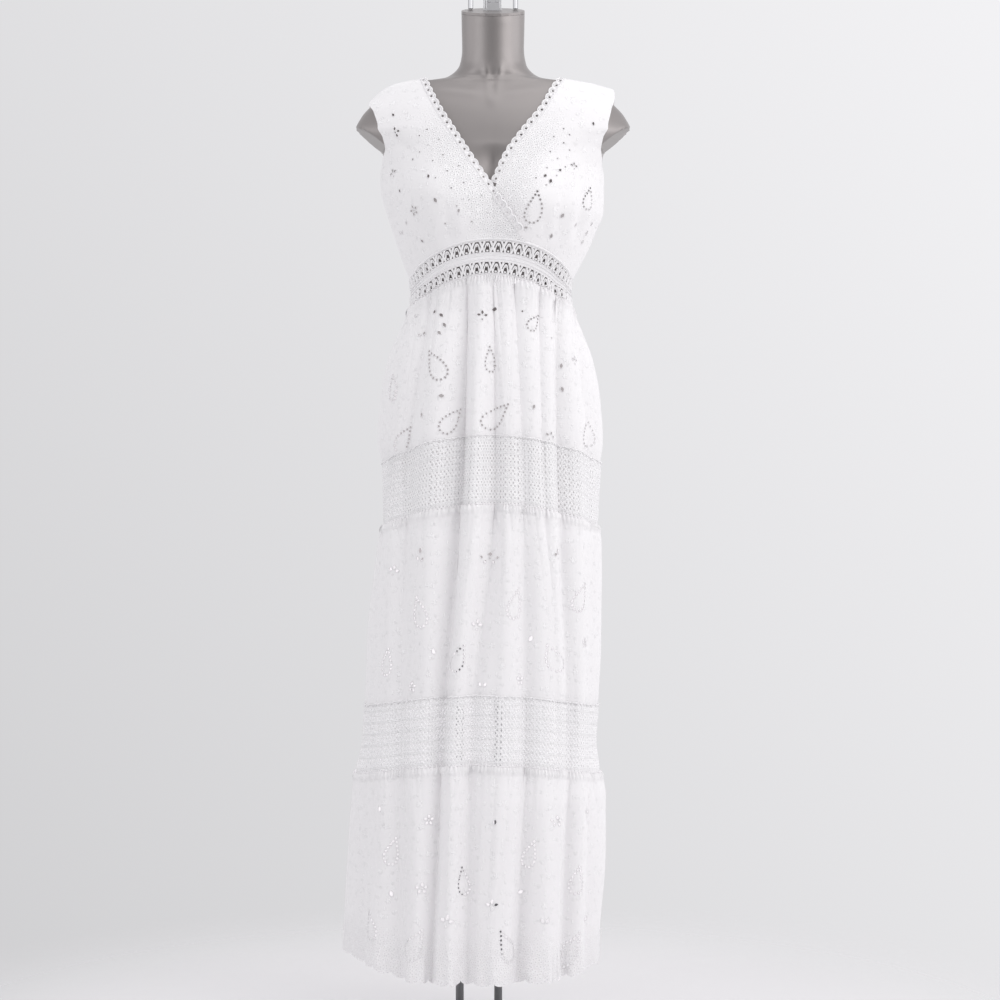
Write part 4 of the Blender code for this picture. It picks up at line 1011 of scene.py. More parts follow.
def step_between(tree, value, low, high):
    """0 below low, 1 above high, smooth between."""
    made = add(tree, "MapRange", value, low, high, 0.0, 1.0, interpolation_type="SMOOTHSTEP")
    return made.outputs[0]


def group(name, outputs, inputs=()):
    """An empty node group of values: its tree, its output sockets and its input sockets."""
    tree = bpy.data.node_groups.new(name, "ShaderNodeTree")
    for labels, way in ((outputs, "OUTPUT"), (inputs, "INPUT")):
        for label in labels:
            tree.interface.new_socket(label, in_out=way, socket_type="NodeSocketFloat")
    ends = tree.nodes.new("NodeGroupOutput").inputs, tree.nodes.new("NodeGroupInput").outputs
    return tree, *ends


def placed(tree, effect, **values):
    """A shared effect in a material, with its inputs by name: its output sockets."""
    made = add(tree, "Group", node_tree=effect)
    for label, value in values.items():
        made.inputs[label].default_value = value
    return made.outputs


def share_of(tree, share, plain, full):
    """A colour between two others."""
    made = add(tree, "Mix", data_type="RGBA")
    for value, slot in ((share, made.inputs[0]), (plain, made.inputs[6]), (full, made.inputs[7])):
        if isinstance(value, bpy.types.NodeSocket):
            tree.links.new(value, slot)
        else:
            slot.default_value = (*value, 1)
    return made.outputs[2]


LACE_DIAMOND = 0.0085       # lace net: height of one diamond
LACE_ROW = 0.0170           # and from one plain row to the next
LACE_FOOT_EDGE = (0.0035, 0.0055)   # the solid strips at the net's edges, by height
LACE_TOP_EDGE = (0.0965, 0.0985)
RING_CELL = 0.0050          # packed embroidery by the edges: size of one ring
THREAD_PITCH = 0.0011       # plain weave: from one thread to the next but one
FLOWER_CELLS = (0.034, 0.0155, 0.0230)      # size of the patch that each flower or leaf has
BLACK = (0, 0, 0)


def weave_group():
    """Height of a plain weave, from the cloth's own chart in metres."""
    tree, out, _ = group("plain_weave", ["Height"])
    chart = add(tree, "UVMap", uv_map="cloth").outputs[0]
    across, up, _z = add(tree, "SeparateXYZ", chart).outputs
    turns = math.tau / THREAD_PITCH
    warp = maths(tree, "SINE", maths(tree, "MULTIPLY", across, turns))
    weft = maths(tree, "SINE", maths(tree, "MULTIPLY", up, turns))
    cross = maths(tree, "MULTIPLY", warp, weft)
    slub = add(tree, "TexNoise", chart, noise_dimensions="2D")
    slub.inputs["Scale"].default_value = 420.0
    slub.inputs["Detail"].default_value = 3.0
    height = maths(tree, "ADD", maths(tree, "MULTIPLY", cross, 0.5), slub.outputs[0])
    tree.links.new(height, out["Height"])
    return tree


def flowers(tree, chart, cell, size, petals, seed):
    """Mask of small embroidered flowers scattered over the cloth, one in each cell."""
    spot = add(tree, "VectorMath", chart, (1 / cell, 1 / cell, 0), operation="MULTIPLY").outputs[0]
    spot = add(tree, "VectorMath", spot, (seed, seed * 1.7, 0), operation="ADD").outputs[0]
    cells = add(tree, "TexVoronoi", voronoi_dimensions="2D", feature="F1")
    tree.links.new(spot, cells.inputs["Vector"])
    cells.inputs["Scale"].default_value = 1.0
    cells.inputs["Randomness"].default_value = 0.55
    off = add(tree, "VectorMath", spot, cells.outputs["Position"], operation="SUBTRACT").outputs[0]
    x, y, _z = add(tree, "SeparateXYZ", off).outputs
    turn = maths(tree, "MULTIPLY", maths(tree, "ARCTAN2", y, x), petals / 2)
    lobe = maths(tree, "ABSOLUTE", maths(tree, "SINE", turn))
    edge = maths(tree, "MULTIPLY_ADD", lobe, size * 0.62, size * 0.34)
    inside = maths(tree, "SUBTRACT", edge, cells.outputs["Distance"])
    flower = step_between(tree, inside, 0.0, size * 0.22)
    eye = step_between(tree, cells.outputs["Distance"], size * 0.13, size * 0.20)
    return flower, eye


def embroidery_group():
    """Masks of the white embroidery: scattered flowers and leaves, packed rings by edges, and
    pinholes for painted shade.
    """
    tree, out, _ = group("white_embroidery", ["Thread", "Pinholes"])
    chart = add(tree, "UVMap", uv_map="cloth").outputs[0]
    edge_band = add(tree, "Attribute", attribute_name="trim").outputs["Fac"]
    big, big_eye = flowers(tree, chart, FLOWER_CELLS[0], 0.150, 5, 0.0)
    leaves, _ = flowers(tree, chart, FLOWER_CELLS[1], 0.20, 2, 3.7)
    small, small_eye = flowers(tree, chart, FLOWER_CELLS[2], 0.13, 6, 6.3)
    plain = maths(tree, "MAXIMUM", big, maths(tree, "MULTIPLY", leaves, 0.8))
    plain = maths(tree, "MAXIMUM", plain, maths(tree, "MULTIPLY", small, 0.9))
    spot = add(tree, "VectorMath", chart, (1 / RING_CELL, 1 / RING_CELL, 0), operation="MULTIPLY")
    cells = add(tree, "TexVoronoi", voronoi_dimensions="2D", feature="F1")
    tree.links.new(spot.outputs[0], cells.inputs["Vector"])
    cells.inputs["Scale"].default_value = 1.0
    cells.inputs["Randomness"].default_value = 0.70
    away = cells.outputs["Distance"]
    inner = step_between(tree, away, 0.13, 0.24)
    outer = maths(tree, "SUBTRACT", 1.0, step_between(tree, away, 0.44, 0.56))
    ring = maths(tree, "MULTIPLY", inner, outer)
    thread = maths(tree, "MAXIMUM", plain, maths(tree, "MULTIPLY", ring, edge_band))
    middles = maths(tree, "SUBTRACT", 1.0, inner)
    gaps = maths(tree, "MULTIPLY", maths(tree, "SUBTRACT", 1.0, outer), 0.20)
    gaps = maths(tree, "MULTIPLY", maths(tree, "MAXIMUM", middles, gaps), edge_band)
    eyes = maths(tree, "MULTIPLY", maths(tree, "SUBTRACT", 1.0, big_eye), 0.8)
    eyes = maths(tree, "MAXIMUM", eyes, maths(tree, "SUBTRACT", 1.0, small_eye))
    gaps = maths(tree, "MULTIPLY", gaps, 0.80)
    pin = maths(tree, "MAXIMUM", gaps, maths(tree, "MULTIPLY", eyes, 0.12))
    tree.links.new(thread, out["Thread"])
    tree.links.new(pin, out["Pinholes"])
    return tree


def shader(name):
    """A new material, its tree and its Principled shader."""
    made = bpy.data.materials.new(name)
    made.use_nodes = True
    return made, made.node_tree, made.node_tree.nodes["Principled BSDF"]


def white_cloth(tree, shell):
    """What every white cotton surface shares: matt, with a faint sheen, and a painted glow on its
    inner side.
    """
    shell.inputs["Roughness"].default_value = 0.82
    shell.inputs["Sheen Weight"].default_value = 0.25
    shell.inputs["Sheen Roughness"].default_value = 0.5
    shell.inputs["Specular IOR Level"].default_value = 0.25
    shell.inputs["Emission Strength"].default_value = 1.0
    inner = add(tree, "NewGeometry").outputs["Backfacing"]
    glow = share_of(tree, inner, BLACK, PAINTED_INNER_GLOW)
    tree.links.new(glow, shell.inputs["Emission Color"])


def bump(tree, shell, height, strength, distance):
    made = add(tree, "Bump")
    made.inputs["Strength"].default_value = strength
    made.inputs["Distance"].default_value = distance
    tree.links.new(height, made.inputs["Height"])
    tree.links.new(made.outputs[0], shell.inputs["Normal"])


def cotton_material(weave, embroidery):
    made, tree, shell = shader("eyelet_cotton_cloth")
    white_cloth(tree, shell)
    woven = placed(tree, weave)["Height"]
    thread, pin = placed(tree, embroidery)
    white = share_of(tree, thread, CLOTH_WHITE, THREAD_WHITE)
    # painted shade: pinholes, ring middles and flower eyes greyed as if shaded inside, and sunk by
    # the bump
    colour = share_of(tree, maths(tree, "MULTIPLY", pin, 0.60), white, PINHOLE_SHADE_GREY)
    tree.links.new(colour, shell.inputs["Base Color"])
    height = maths(tree, "MULTIPLY_ADD", woven, 0.10, thread)
    height = maths(tree, "SUBTRACT", height, maths(tree, "MULTIPLY", pin, 0.8))
    bump(tree, shell, height, 0.8, 0.0007)
    return made


def lace_material():
    """Net of diamonds between plain rows: the chart counts diamonds across, and metres up."""
    made, tree, shell = shader("lace_net")
    white_cloth(tree, shell)
    chart = add(tree, "UVMap", uv_map="cloth").outputs[0]
    across, up, _z = add(tree, "SeparateXYZ", chart).outputs
    rows = maths(tree, "DIVIDE", up, LACE_DIAMOND)
    a = maths(tree, "ABSOLUTE", maths(tree, "SUBTRACT", maths(tree, "FRACT", across), 0.5))
    b = maths(tree, "ABSOLUTE", maths(tree, "SUBTRACT", maths(tree, "FRACT", rows), 0.5))
    reach = maths(tree, "MULTIPLY", maths(tree, "ADD", a, b), 2.0)
    gap = maths(tree, "ABSOLUTE", maths(tree, "SUBTRACT", reach, 1.0))
    loose = add(tree, "TexNoise", chart, noise_dimensions="2D")
    loose.inputs["Scale"].default_value = 1.3
    loose.inputs["Detail"].default_value = 2.0
    gap = maths(tree, "MULTIPLY_ADD", maths(tree, "SUBTRACT", loose.outputs[0], 0.5), 1.1, gap)
    thread = maths(tree, "SUBTRACT", 1.0, step_between(tree, gap, 0.58, 0.76))
    row = maths(tree, "FRACT", maths(tree, "DIVIDE", up, LACE_ROW))
    row = maths(tree, "ABSOLUTE", maths(tree, "SUBTRACT", row, 0.5))
    plain = maths(tree, "SUBTRACT", 1.0, step_between(tree, row, 0.045, 0.085))
    closed = maths(tree, "SUBTRACT", 1.0, step_between(tree, up, *LACE_FOOT_EDGE))
    closed = maths(tree, "MAXIMUM", closed, step_between(tree, up, *LACE_TOP_EDGE))
    cover = maths(tree, "MAXIMUM", maths(tree, "MAXIMUM", thread, plain), closed)
    zone = add(tree, "TexNoise", chart, noise_dimensions="2D")
    zone.inputs["Scale"].default_value = 0.16
    zone = step_between(tree, zone.outputs[0], 0.42, 0.62)
    least = maths(tree, "MULTIPLY_ADD", zone, 0.36, 0.44)
    tree.links.new(maths(tree, "MAXIMUM", cover, least), shell.inputs["Alpha"])
    # painted shade: the net's gaps are greyed as if shaded behind, and stay half see-through
    colour = share_of(tree, cover, LACE_SHADE, THREAD_WHITE)
    tree.links.new(colour, shell.inputs["Base Color"])
    height = maths(tree, "SUBTRACT", maths(tree, "MULTIPLY", plain, 0.5), gap)
    bump(tree, shell, height, 1.0, 0.0012)
    return made


def twist_group():
    """The strands of a thread, as light and dark bands across it."""
    tree, out, given = group("thread_twist", ["Strands"], ["Bands"])
    place = add(tree, "TexCoord").outputs["Object"]
    wave = add(tree, "TexWave", place, wave_type="BANDS", bands_direction="DIAGONAL")
    tree.links.new(given["Bands"], wave.inputs["Scale"])
    wave.inputs["Distortion"].default_value = 1.5
    wave.inputs["Detail"].default_value = 2.0
    tree.links.new(wave.outputs["Fac"], out["Strands"])
    return tree


def thread_material(name, twist, bands, lift=1.0):
    """Satin stitch and crochet cord: brighter than the cloth, with a fine twist of painted lit and
    shaded bands.
    """
    made, tree, shell = shader(name)
    white_cloth(tree, shell)
    shell.inputs["Roughness"].default_value = 0.62
    strands = placed(tree, twist, Bands=bands)["Strands"]
    # painted light and shade: strands lit, grooves between them shaded, over the twist's bump;
    # lift brightens both as painted light
    shade, light = ([c * lift for c in colour] for colour in (CLOTH_WHITE, THREAD_WHITE))
    tree.links.new(share_of(tree, strands, shade, light), shell.inputs["Base Color"])
    bump(tree, shell, strands, 0.5, 0.0003)
    return made


GLOW_UNDER_SKIRT = (1.08, 1.12)  # heights where the painted glow on the form under the skirt ends
GLOW_UNDER_BUST = ((1.215, 1.235), (1.27, 1.30))     # and where the painted glow under the bodice begins and ends


def painted_glow_under_cloth(made):
    """Under the cloth the form has a painted glow, standing in for the soft light that thin cotton
    lets through.
    """
    tree = made.node_tree
    shell = tree.nodes["Principled BSDF"]
    place = add(tree, "TexCoord").outputs["Object"]
    height = add(tree, "SeparateXYZ", place).outputs[2]
    skirt = maths(tree, "SUBTRACT", 1.0, step_between(tree, height, *GLOW_UNDER_SKIRT))
    bust = maths(tree, "SUBTRACT", 1.0, step_between(tree, height, *GLOW_UNDER_BUST[1]))
    bust = maths(tree, "MULTIPLY", bust, step_between(tree, height, *GLOW_UNDER_BUST[0]))
    glow = share_of(tree, maths(tree, "MAXIMUM", skirt, bust), BLACK, PAINTED_UNDER_GLOW)
    tree.links.new(glow, shell.inputs["Emission Color"])
    shell.inputs["Emission Strength"].default_value = 1.0


def grain_group():
    """Uneven patches of a metal's finish, and its fine grain."""
    tree, out, given = group("metal_grain", ["Patches", "Grain"], ["Patchiness"])
    place = add(tree, "TexCoord").outputs["Object"]
    patches = add(tree, "TexNoise", place)
    tree.links.new(given["Patchiness"], patches.inputs["Scale"])
    patches.inputs["Detail"].default_value = 4.0
    fine = add(tree, "TexNoise", place)
    fine.inputs["Scale"].default_value = 1800.0
    tree.links.new(patches.outputs[0], out["Patches"])
    tree.links.new(fine.outputs[0], out["Grain"])
    return tree


def metal_material(name, grain, colour, roughness, metallic, patchiness, coat=0.0):
    """Painted or bare metal with a faint, uneven surface."""
    made, tree, shell = shader(name)
    shell.inputs["Metallic"].default_value = metallic
    shell.inputs["Coat Weight"].default_value = coat
    shell.inputs["Coat Roughness"].default_value = 0.12
    patches, fine = placed(tree, grain, Patchiness=patchiness)
    dull, bright = ([c * share for c in colour] for share in (0.94, 1.05))
    tree.links.new(share_of(tree, patches, dull, bright), shell.inputs["Base Color"])
    rough = maths(tree, "MULTIPLY_ADD", patches, 0.08, roughness - 0.04)
    tree.links.new(rough, shell.inputs["Roughness"])
    bump(tree, shell, fine, 0.15, 0.0001)
    return made


# ---------------------------------------------------------------- the pieces

CLOTH_WHITE = (0.835, 0.822, 0.832)
THREAD_WHITE = (0.90, 0.89, 0.90)
# painted shade inside the embroidery's pinholes
PINHOLE_SHADE_GREY = (0.46, 0.45, 0.46)
LACE_SHADE = (0.76, 0.75, 0.76)
# painted glow of the cloth's inner side, for light let through the thin cotton
PAINTED_INNER_GLOW = (0.35, 0.34, 0.35)
# painted glow on the form where the cloth covers it
PAINTED_UNDER_GLOW = (0.22, 0.215, 0.22)
FORM_SILVER = (0.29, 0.27, 0.265)
CHROME_GREY = (0.40, 0.40, 0.41)
STEEL_GREY = (0.52, 0.52, 0.53)
POST_GREY = (0.16, 0.16, 0.165)
FLOOR_PALE = ((0.76, 0.75, 0.76), (0.80, 0.79, 0.80))

WEAVE = weave_group()
EMBROIDERY = embroidery_group()
COTTON = cotton_material(WEAVE, EMBROIDERY)
LACE = lace_material()
TWIST = twist_group()
SATIN = thread_material("satin_stitch", TWIST, 900.0)
# lift: painted light, brightening every crochet piece to make up for the shade in the narrow waist
# lace
CROCHET = thread_material("crochet_cord", TWIST, 520.0, lift=1.035)
GRAIN = grain_group()
SILVER = metal_material("silver_paint", GRAIN, FORM_SILVER, 0.42, 0.80, 14.0, coat=0.15)
painted_glow_under_cloth(SILVER)
CHROME = metal_material("polished_steel", GRAIN, CHROME_GREY, 0.22, 1.0, 30.0)
STEEL = metal_material("brushed_steel", GRAIN, STEEL_GREY, 0.45, 0.7, 60.0)
DARK = metal_material("dark_metal", GRAIN, POST_GREY, 0.40, 0.7, 30.0)

# A shell of cloth that hangs from a seam: how its gathers sit below the seam and above the next.
Gather = namedtuple("Gather", "pitch reach depth seed rising")
TIER_1_GATHERS = [
    Gather(0.0100, 0.045, 0.0022, 0.3, 0), Gather(0.0230, 0.120, 0.0036, 1.1, 0),
    Gather(0.0420, 0.280, 0.0030, 2.6, 0), Gather(0.0340, 0.070, 0.0018, 2.2, 1),
]
TIER_2_GATHERS = [
    Gather(0.0115, 0.040, 0.0018, 4.3, 0), Gather(0.0270, 0.130, 0.0030, 5.1, 0),
    Gather(0.0480, 0.340, 0.0026, 6.6, 0), Gather(0.0400, 0.080, 0.0018, 6.2, 1),
]
TIER_3_GATHERS = [
    Gather(0.0125, 0.045, 0.0018, 7.3, 0), Gather(0.0300, 0.160, 0.0030, 8.1, 0),
    Gather(0.0520, 0.360, 0.0026, 8.8, 0), Gather(0.0450, 0.100, 0.0020, 9.2, 1),
]
LACE_GATHERS = [Gather(0.030, 0.120, 0.0020, 3.3, 0), Gather(0.036, 0.120, 0.0018, 5.7, 1)]
HEM_LOBES = 40
FLOOR_RADIUS = 1.15
STUDIO_LIGHT = 0.92         # brightness of the light all round
HEADER = 0.009              # height of the frilled header at the top of a tier
HEADER_OUT = 0.0026
HEADER_RISE = 0.0030         # how far it stands over the seam


FRILL_PITCH = 0.0052        # from one small frill of the header to the next
STITCHED_DOWN = 0.025       # share of its width over which a half tier's side lies flat
HEM_FLARE = 0.0015
HEM_LIFT_RIGHT, HEM_LIFT_LEFT = 0.024, 0.005


def along_middle(surface):
    """Shares across a piece, and how far along its middle line each one is."""
    us = np.linspace(0, 1, LINE_POINTS)
    line = surface(us, np.full(LINE_POINTS, 0.5))
    return us, np.append(0, np.cumsum(np.linalg.norm(np.diff(line, axis=0), axis=1)))


def hung(angle_of, top, foot, folds, lobes=0, header=HEADER_OUT, half=False):
    """A skirt piece's surface at thread scale: its section, and then its gathers."""
    base = skirt_piece(angle_of, top, foot)
    us, along = along_middle(lambda u, v: base(u, v)[0])
    girth = along[-1]
    height = top.side + top.rise / 2 - foot.side - foot.rise / 2

    def surface(u, v):
        points, out = base(u, v)
        s = np.interp(u, us, along)
        move = np.zeros_like(s)
        for fold in folds:
            away = v * height if fold.rising else (1 - v) * height
            move += gathers(s, away, girth, fold.pitch, fold.reach, fold.depth, fold.seed)
        if half:
            move *= ramp(0, STITCHED_DOWN, np.minimum(u, 1 - u))
        if not lobes:
            move *= 0.25 + 0.75 * ramp(0.0, 0.024, v * height)
        frill = np.clip(1 - (1 - v) * height / HEADER, 0, 1)
        wavy = 1.0 + 0.5 * np.sin(s * math.tau / FRILL_PITCH)
        move += header * np.sin(0.82 * math.pi * frill) * wavy
        if header:
            points[:, 2] += HEADER_RISE * frill ** 2 * wavy
        if lobes:
            drop = HEM_DROP * (0.4 + 0.6 * np.abs(np.sin(u * lobes * math.pi)) ** 0.6)
            points[:, 2] -= drop * np.clip(1 - 4 * v, 0, 1)
            points[:, 2] += hem_rise(points) * (1 - ramp(0.0, 0.8, v))
            move += HEM_FLARE * np.sin(2 * u * lobes * math.pi) * np.clip(1 - 6 * v, 0, 1)
        points[:, :2] += out[:, :2] * move[:, None]
        return points

    def chart(u, v, points):
        """Metres along the cloth and up it."""
        return np.stack([np.interp(u, us, along), v * height], axis=-1)

    return surface, chart, girth, height


def hem_rise(points):
    """How far the hem is drawn up on the dress's right side, and a little on its left."""
    right_side = np.exp(-0.5 * ((points[:, 0] + 0.205) / 0.050) ** 2)
    left_side = np.exp(-0.5 * ((points[:, 0] - 0.190) / 0.030) ** 2)
    return HEM_LIFT_RIGHT * right_side + HEM_LIFT_LEFT * left_side


def declare(piece, nodes, area=None, with_pieces=()):
    """Hide the solids that a cloth piece stands for."""
    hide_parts(*nodes)
    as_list(with_pieces)


def area_of(piece):
    """Area of a sheet as it hangs."""
    mesh = piece.data
    areas = np.empty(len(mesh.polygons), np.float32)
    mesh.polygons.foreach_get("area", areas)
    return float(areas.sum())


# Motifs of the front, by place across from the posts' middle and height.
TIER_1_MOTIFS = [
    Motif(-0.064, 1.032, "drop", 1.00, -35), Motif(-0.037, 0.948, "drop", 0.90, 38),
    Motif(0.029, 0.956, "drop", 1.00, 50), Motif(-0.114, 0.922, "drop", 0.85, 28),
    Motif(0.016, 1.040, "drop", 0.75, -5), Motif(-0.130, 1.001, "drop", 0.80, -20),
    Motif(0.086, 1.098, "drop", 0.62, 35), Motif(0.166, 0.930, "drop", 0.75, 10),
    Motif(-0.057, 0.985, "leaf", 1.0, 85), Motif(-0.054, 1.108, "leaf", 0.9, -55),
    Motif(-0.052, 1.094, "leaf", 0.9, -35), Motif(-0.059, 1.081, "leaf", 0.9, -60),
    Motif(-0.066, 1.114, "leaf", 0.7, 20), Motif(-0.095, 1.111, "pair", 0.6, 20),
    Motif(-0.088, 1.081, "pair", 0.7, -20), Motif(-0.085, 0.958, "leaf", 0.8, 5),
    Motif(0.125, 1.032, "leaf", 0.9, 10), Motif(0.129, 0.997, "leaf", 0.9, -15),
    Motif(0.084, 0.968, "leaf", 0.8, 20), Motif(0.024, 1.116, "leaf", 0.9, 10),
    Motif(0.006, 1.107, "sprig", 0.8, 0), Motif(0.066, 1.115, "dot", 1.0, 0),
    Motif(0.112, 1.075, "dot", 1.0, 0), Motif(0.148, 1.040, "sprig", 0.7, 0),
    Motif(0.108, 0.925, "sprig", 0.7, 20),
]
TIER_2_MOTIFS = [
    Motif(0.052, 0.672, "drop", 0.9, 15), Motif(0.158, 0.680, "drop", 0.9, 30),
    Motif(0.115, 0.590, "drop", 0.8, -20), Motif(-0.090, 0.660, "drop", 0.9, -15),
    Motif(-0.030, 0.590, "drop", 0.8, 20), Motif(-0.140, 0.580, "drop", 0.8, 10),
    Motif(-0.090, 0.752, "leaf", 1.0, 0), Motif(-0.085, 0.738, "pair", 0.8, 10),
    Motif(0.020, 0.740, "flower", 1.0, 0), Motif(0.120, 0.745, "sprig", 0.9, -10),
    Motif(-0.130, 0.720, "sprig", 0.8, 15), Motif(0.000, 0.640, "sprig", 0.9, 0),
    Motif(0.080, 0.620, "leaf", 1.0, 30), Motif(-0.070, 0.600, "leaf", 0.9, -25),
    Motif(0.160, 0.610, "flower", 0.8, 0), Motif(0.060, 0.560, "flower", 0.9, 0),
    Motif(-0.100, 0.545, "flower", 0.9, 0), Motif(0.010, 0.550, "pair", 0.8, 0),
]
TIER_3_MOTIFS = [
    Motif(0.135, 0.150, "drop", 1.1, 40), Motif(0.040, 0.165, "drop", 1.0, -30),
    Motif(-0.090, 0.165, "drop", 1.0, 30), Motif(-0.160, 0.185, "drop", 0.9, -25),
    Motif(0.150, 0.255, "drop", 0.8, 10), Motif(-0.020, 0.260, "drop", 0.8, -10),
    Motif(-0.125, 0.300, "drop", 0.8, 15), Motif(0.080, 0.300, "drop", 0.8, 20),
    Motif(0.165, 0.190, "leaf", 1.0, 30), Motif(0.100, 0.200, "pair", 0.9, 0),
    Motif(-0.050, 0.200, "sprig", 1.0, 10), Motif(-0.130, 0.235, "leaf", 1.0, -20),
    Motif(0.020, 0.225, "sprig", 0.9, 0), Motif(0.120, 0.345, "flower", 0.9, 0),
    Motif(-0.070, 0.350, "flower", 0.9, 0), Motif(0.020, 0.350, "leaf", 0.9, 15),
    Motif(-0.150, 0.360, "leaf", 0.9, -15), Motif(0.165, 0.350, "sprig", 0.8, 0),
    Motif(0.060, 0.240, "leaf", 0.9, 60), Motif(-0.085, 0.250, "flower", 0.9, 0),
]
RIGHT_MOTIFS = [
    Motif(-0.063, 1.278, "leaf", 0.95, 0), Motif(-0.075, 1.315, "leaf", 0.8, 10),
    Motif(-0.097, 1.266, "flower", 0.95, 0), Motif(-0.128, 1.391, "flower", 0.9, 20),
    Motif(-0.111, 1.252, "leaf", 0.7, 20), Motif(-0.118, 1.238, "pair", 0.7, 10),
    Motif(-0.131, 1.330, "sprig", 0.7, 0), Motif(-0.030, 1.262, "leaf", 0.7, 50),
    Motif(-0.130, 1.418, "leaf", 0.7, -20), Motif(-0.120, 1.300, "leaf", 0.7, -15),
    Motif(-0.085, 1.222, "leaf", 0.7, -20), Motif(-0.050, 1.244, "dot", 1.0, 0),
    Motif(-0.100, 1.345, "dot", 1.0, 0), Motif(-0.010, 1.245, "dot", 1.0, 0),
]
LEFT_MOTIFS = [
    Motif(0.086, 1.268, "drop", 0.95, -14), Motif(0.168, 1.288, "drop", 0.70, 5),
    Motif(0.127, 1.259, "leaf", 1.0, 10), Motif(0.110, 1.309, "leaf", 0.9, 5),
    Motif(0.101, 1.317, "leaf", 0.8, 15), Motif(0.124, 1.326, "leaf", 0.7, 25),
    Motif(0.110, 1.228, "leaf", 0.9, -20), Motif(0.165, 1.238, "leaf", 0.9, 5),
    Motif(0.160, 1.226, "leaf", 0.8, 15), Motif(0.172, 1.252, "leaf", 0.7, 20),
    Motif(0.147, 1.246, "leaf", 0.7, 0), Motif(0.176, 1.405, "leaf", 0.7, -5),
    Motif(0.146, 1.335, "sprig", 0.6, -15), Motif(0.072, 1.240, "leaf", 0.7, 40),
]


def mirrored(motifs):
    """The same motifs on the back."""
    return [m._replace(x=2 * FORM_X - m.x, tilt=-m.tilt) for m in motifs]


def skirt_part(name, nodes, angle_of, top, foot, columns, rows, folds, motifs, closed=False,
               lobes=0, trim=None):
    """One gathered tier with its eyelets, rims and frilled header."""
    surface, chart, _, height = hung(angle_of, top, foot, folds, lobes, half=not closed)
    holes = holes_of(surface, motifs)
    piece = cloth(name, surface, columns, rows, COTTON, chart, holes, closed, trim)
    stitched = rims(name + "_rims", surface, holes, SATIN)
    width = area_of(piece) / height
    declare(piece, nodes,
            with_pieces=stitched)


def make_skirt():
    skirt_part(
        "tier_1_front_cloth", ["tier_1_front"], front_angle, WAIST, LACE_1_TOP, 380, 90,
        TIER_1_GATHERS, TIER_1_MOTIFS)
    skirt_part(
        "tier_1_back_cloth", ["tier_1_back"], back_angle, WAIST, LACE_1_TOP, 290, 80,
        TIER_1_GATHERS, mirrored(TIER_1_MOTIFS))
    skirt_part(
        "tier_2_cloth", ["tier_2"], ring_angle, LACE_1_FOOT, LACE_2_TOP, 700, 92,
        TIER_2_GATHERS, TIER_2_MOTIFS, closed=True)

    def band_of_hem(u, v):
        return 0.5 * (1 - ramp(0.10, 0.26, v))

    skirt_part(
        "tier_3_cloth", ["tier_3"], ring_angle, LACE_2_FOOT, HEM, 740, 100,
        TIER_3_GATHERS, TIER_3_MOTIFS, closed=True, lobes=HEM_LOBES, trim=band_of_hem)


LACE_OUT = 0.0016           # how far the lace lies over the tier's foot
LACE_LAP = 0.0035           # and how far up
LACE_PITCH = 0.0058         # lace net: width of one diamond
LACE_SCALLOP = 0.013        # and of one scallop of its upper border
LACE_RAILS = (0.012, 0.034, 0.990)  # its corded borders, as shares of its height
RAIL_POINTS = 520           # points along a border cord


def lace_band(number, top, foot):
    """A band of lace net round the skirt, with a scalloped upper and a corded lower border."""
    name = f"lace_band_{number}"
    hanging, _, girth, height = hung(ring_angle, top, foot, LACE_GATHERS, header=0.0)

    def surface(u, v):
        up = v * (1 + LACE_LAP / height)
        points = hanging(u, np.minimum(up, 1))
        points[:, 2] += np.maximum(up - 1, 0) * height
        away = unit(points[:, :2] - BODY_AXIS)
        points[:, :2] += (LACE_OUT * (ramp(0, 0.10, v) - 0.4))[:, None] * away
        return points

    repeats = round(girth / LACE_PITCH)
    us, along = along_middle(surface)

    def chart(u, v, points):
        """Diamonds counted along the band, and metres up it."""
        return np.stack([np.interp(u, us, along) / along[-1] * repeats, v * height], axis=-1)

    piece = cloth(name + "_net", surface, 560, 24, LACE, chart, closed=True)
    run = np.linspace(0, 1, RAIL_POINTS, endpoint=False)
    rails = [on_piece(surface, run, np.full(RAIL_POINTS, level), 0.0004) for level in LACE_RAILS]
    arcs = round(girth / LACE_SCALLOP)
    run = np.linspace(0, 1, arcs * 8, endpoint=False)
    scallop = 0.965 + 0.028 * np.abs(np.sin(math.pi * arcs * run)) ** 0.8
    rails.append(on_piece(surface, run, scallop, 0.0006))
    borders = cords(name + "_borders", rails[:3], 0.0009, CROCHET, closed=True, turns=0)
    scallops = cords(name + "_scallops", rails[3:], 0.0011, CROCHET, closed=True, turns=0)
    declare(piece, [name],
            with_pieces=[borders, scallops])


# ---------------------------------------------------------------- the waist lace

BAND_BORDERS = ((0.0, 0.125), (0.405, 0.655), (0.935, 1.0))     # shares of its height
BAND_OPEN = ((0.125, 0.405), (0.655, 0.935))
WIDE_RAILS, NARROW_RAILS = (0.04, 0.32, 0.68, 0.96), (0.06, 0.50, 0.94)     # of a border


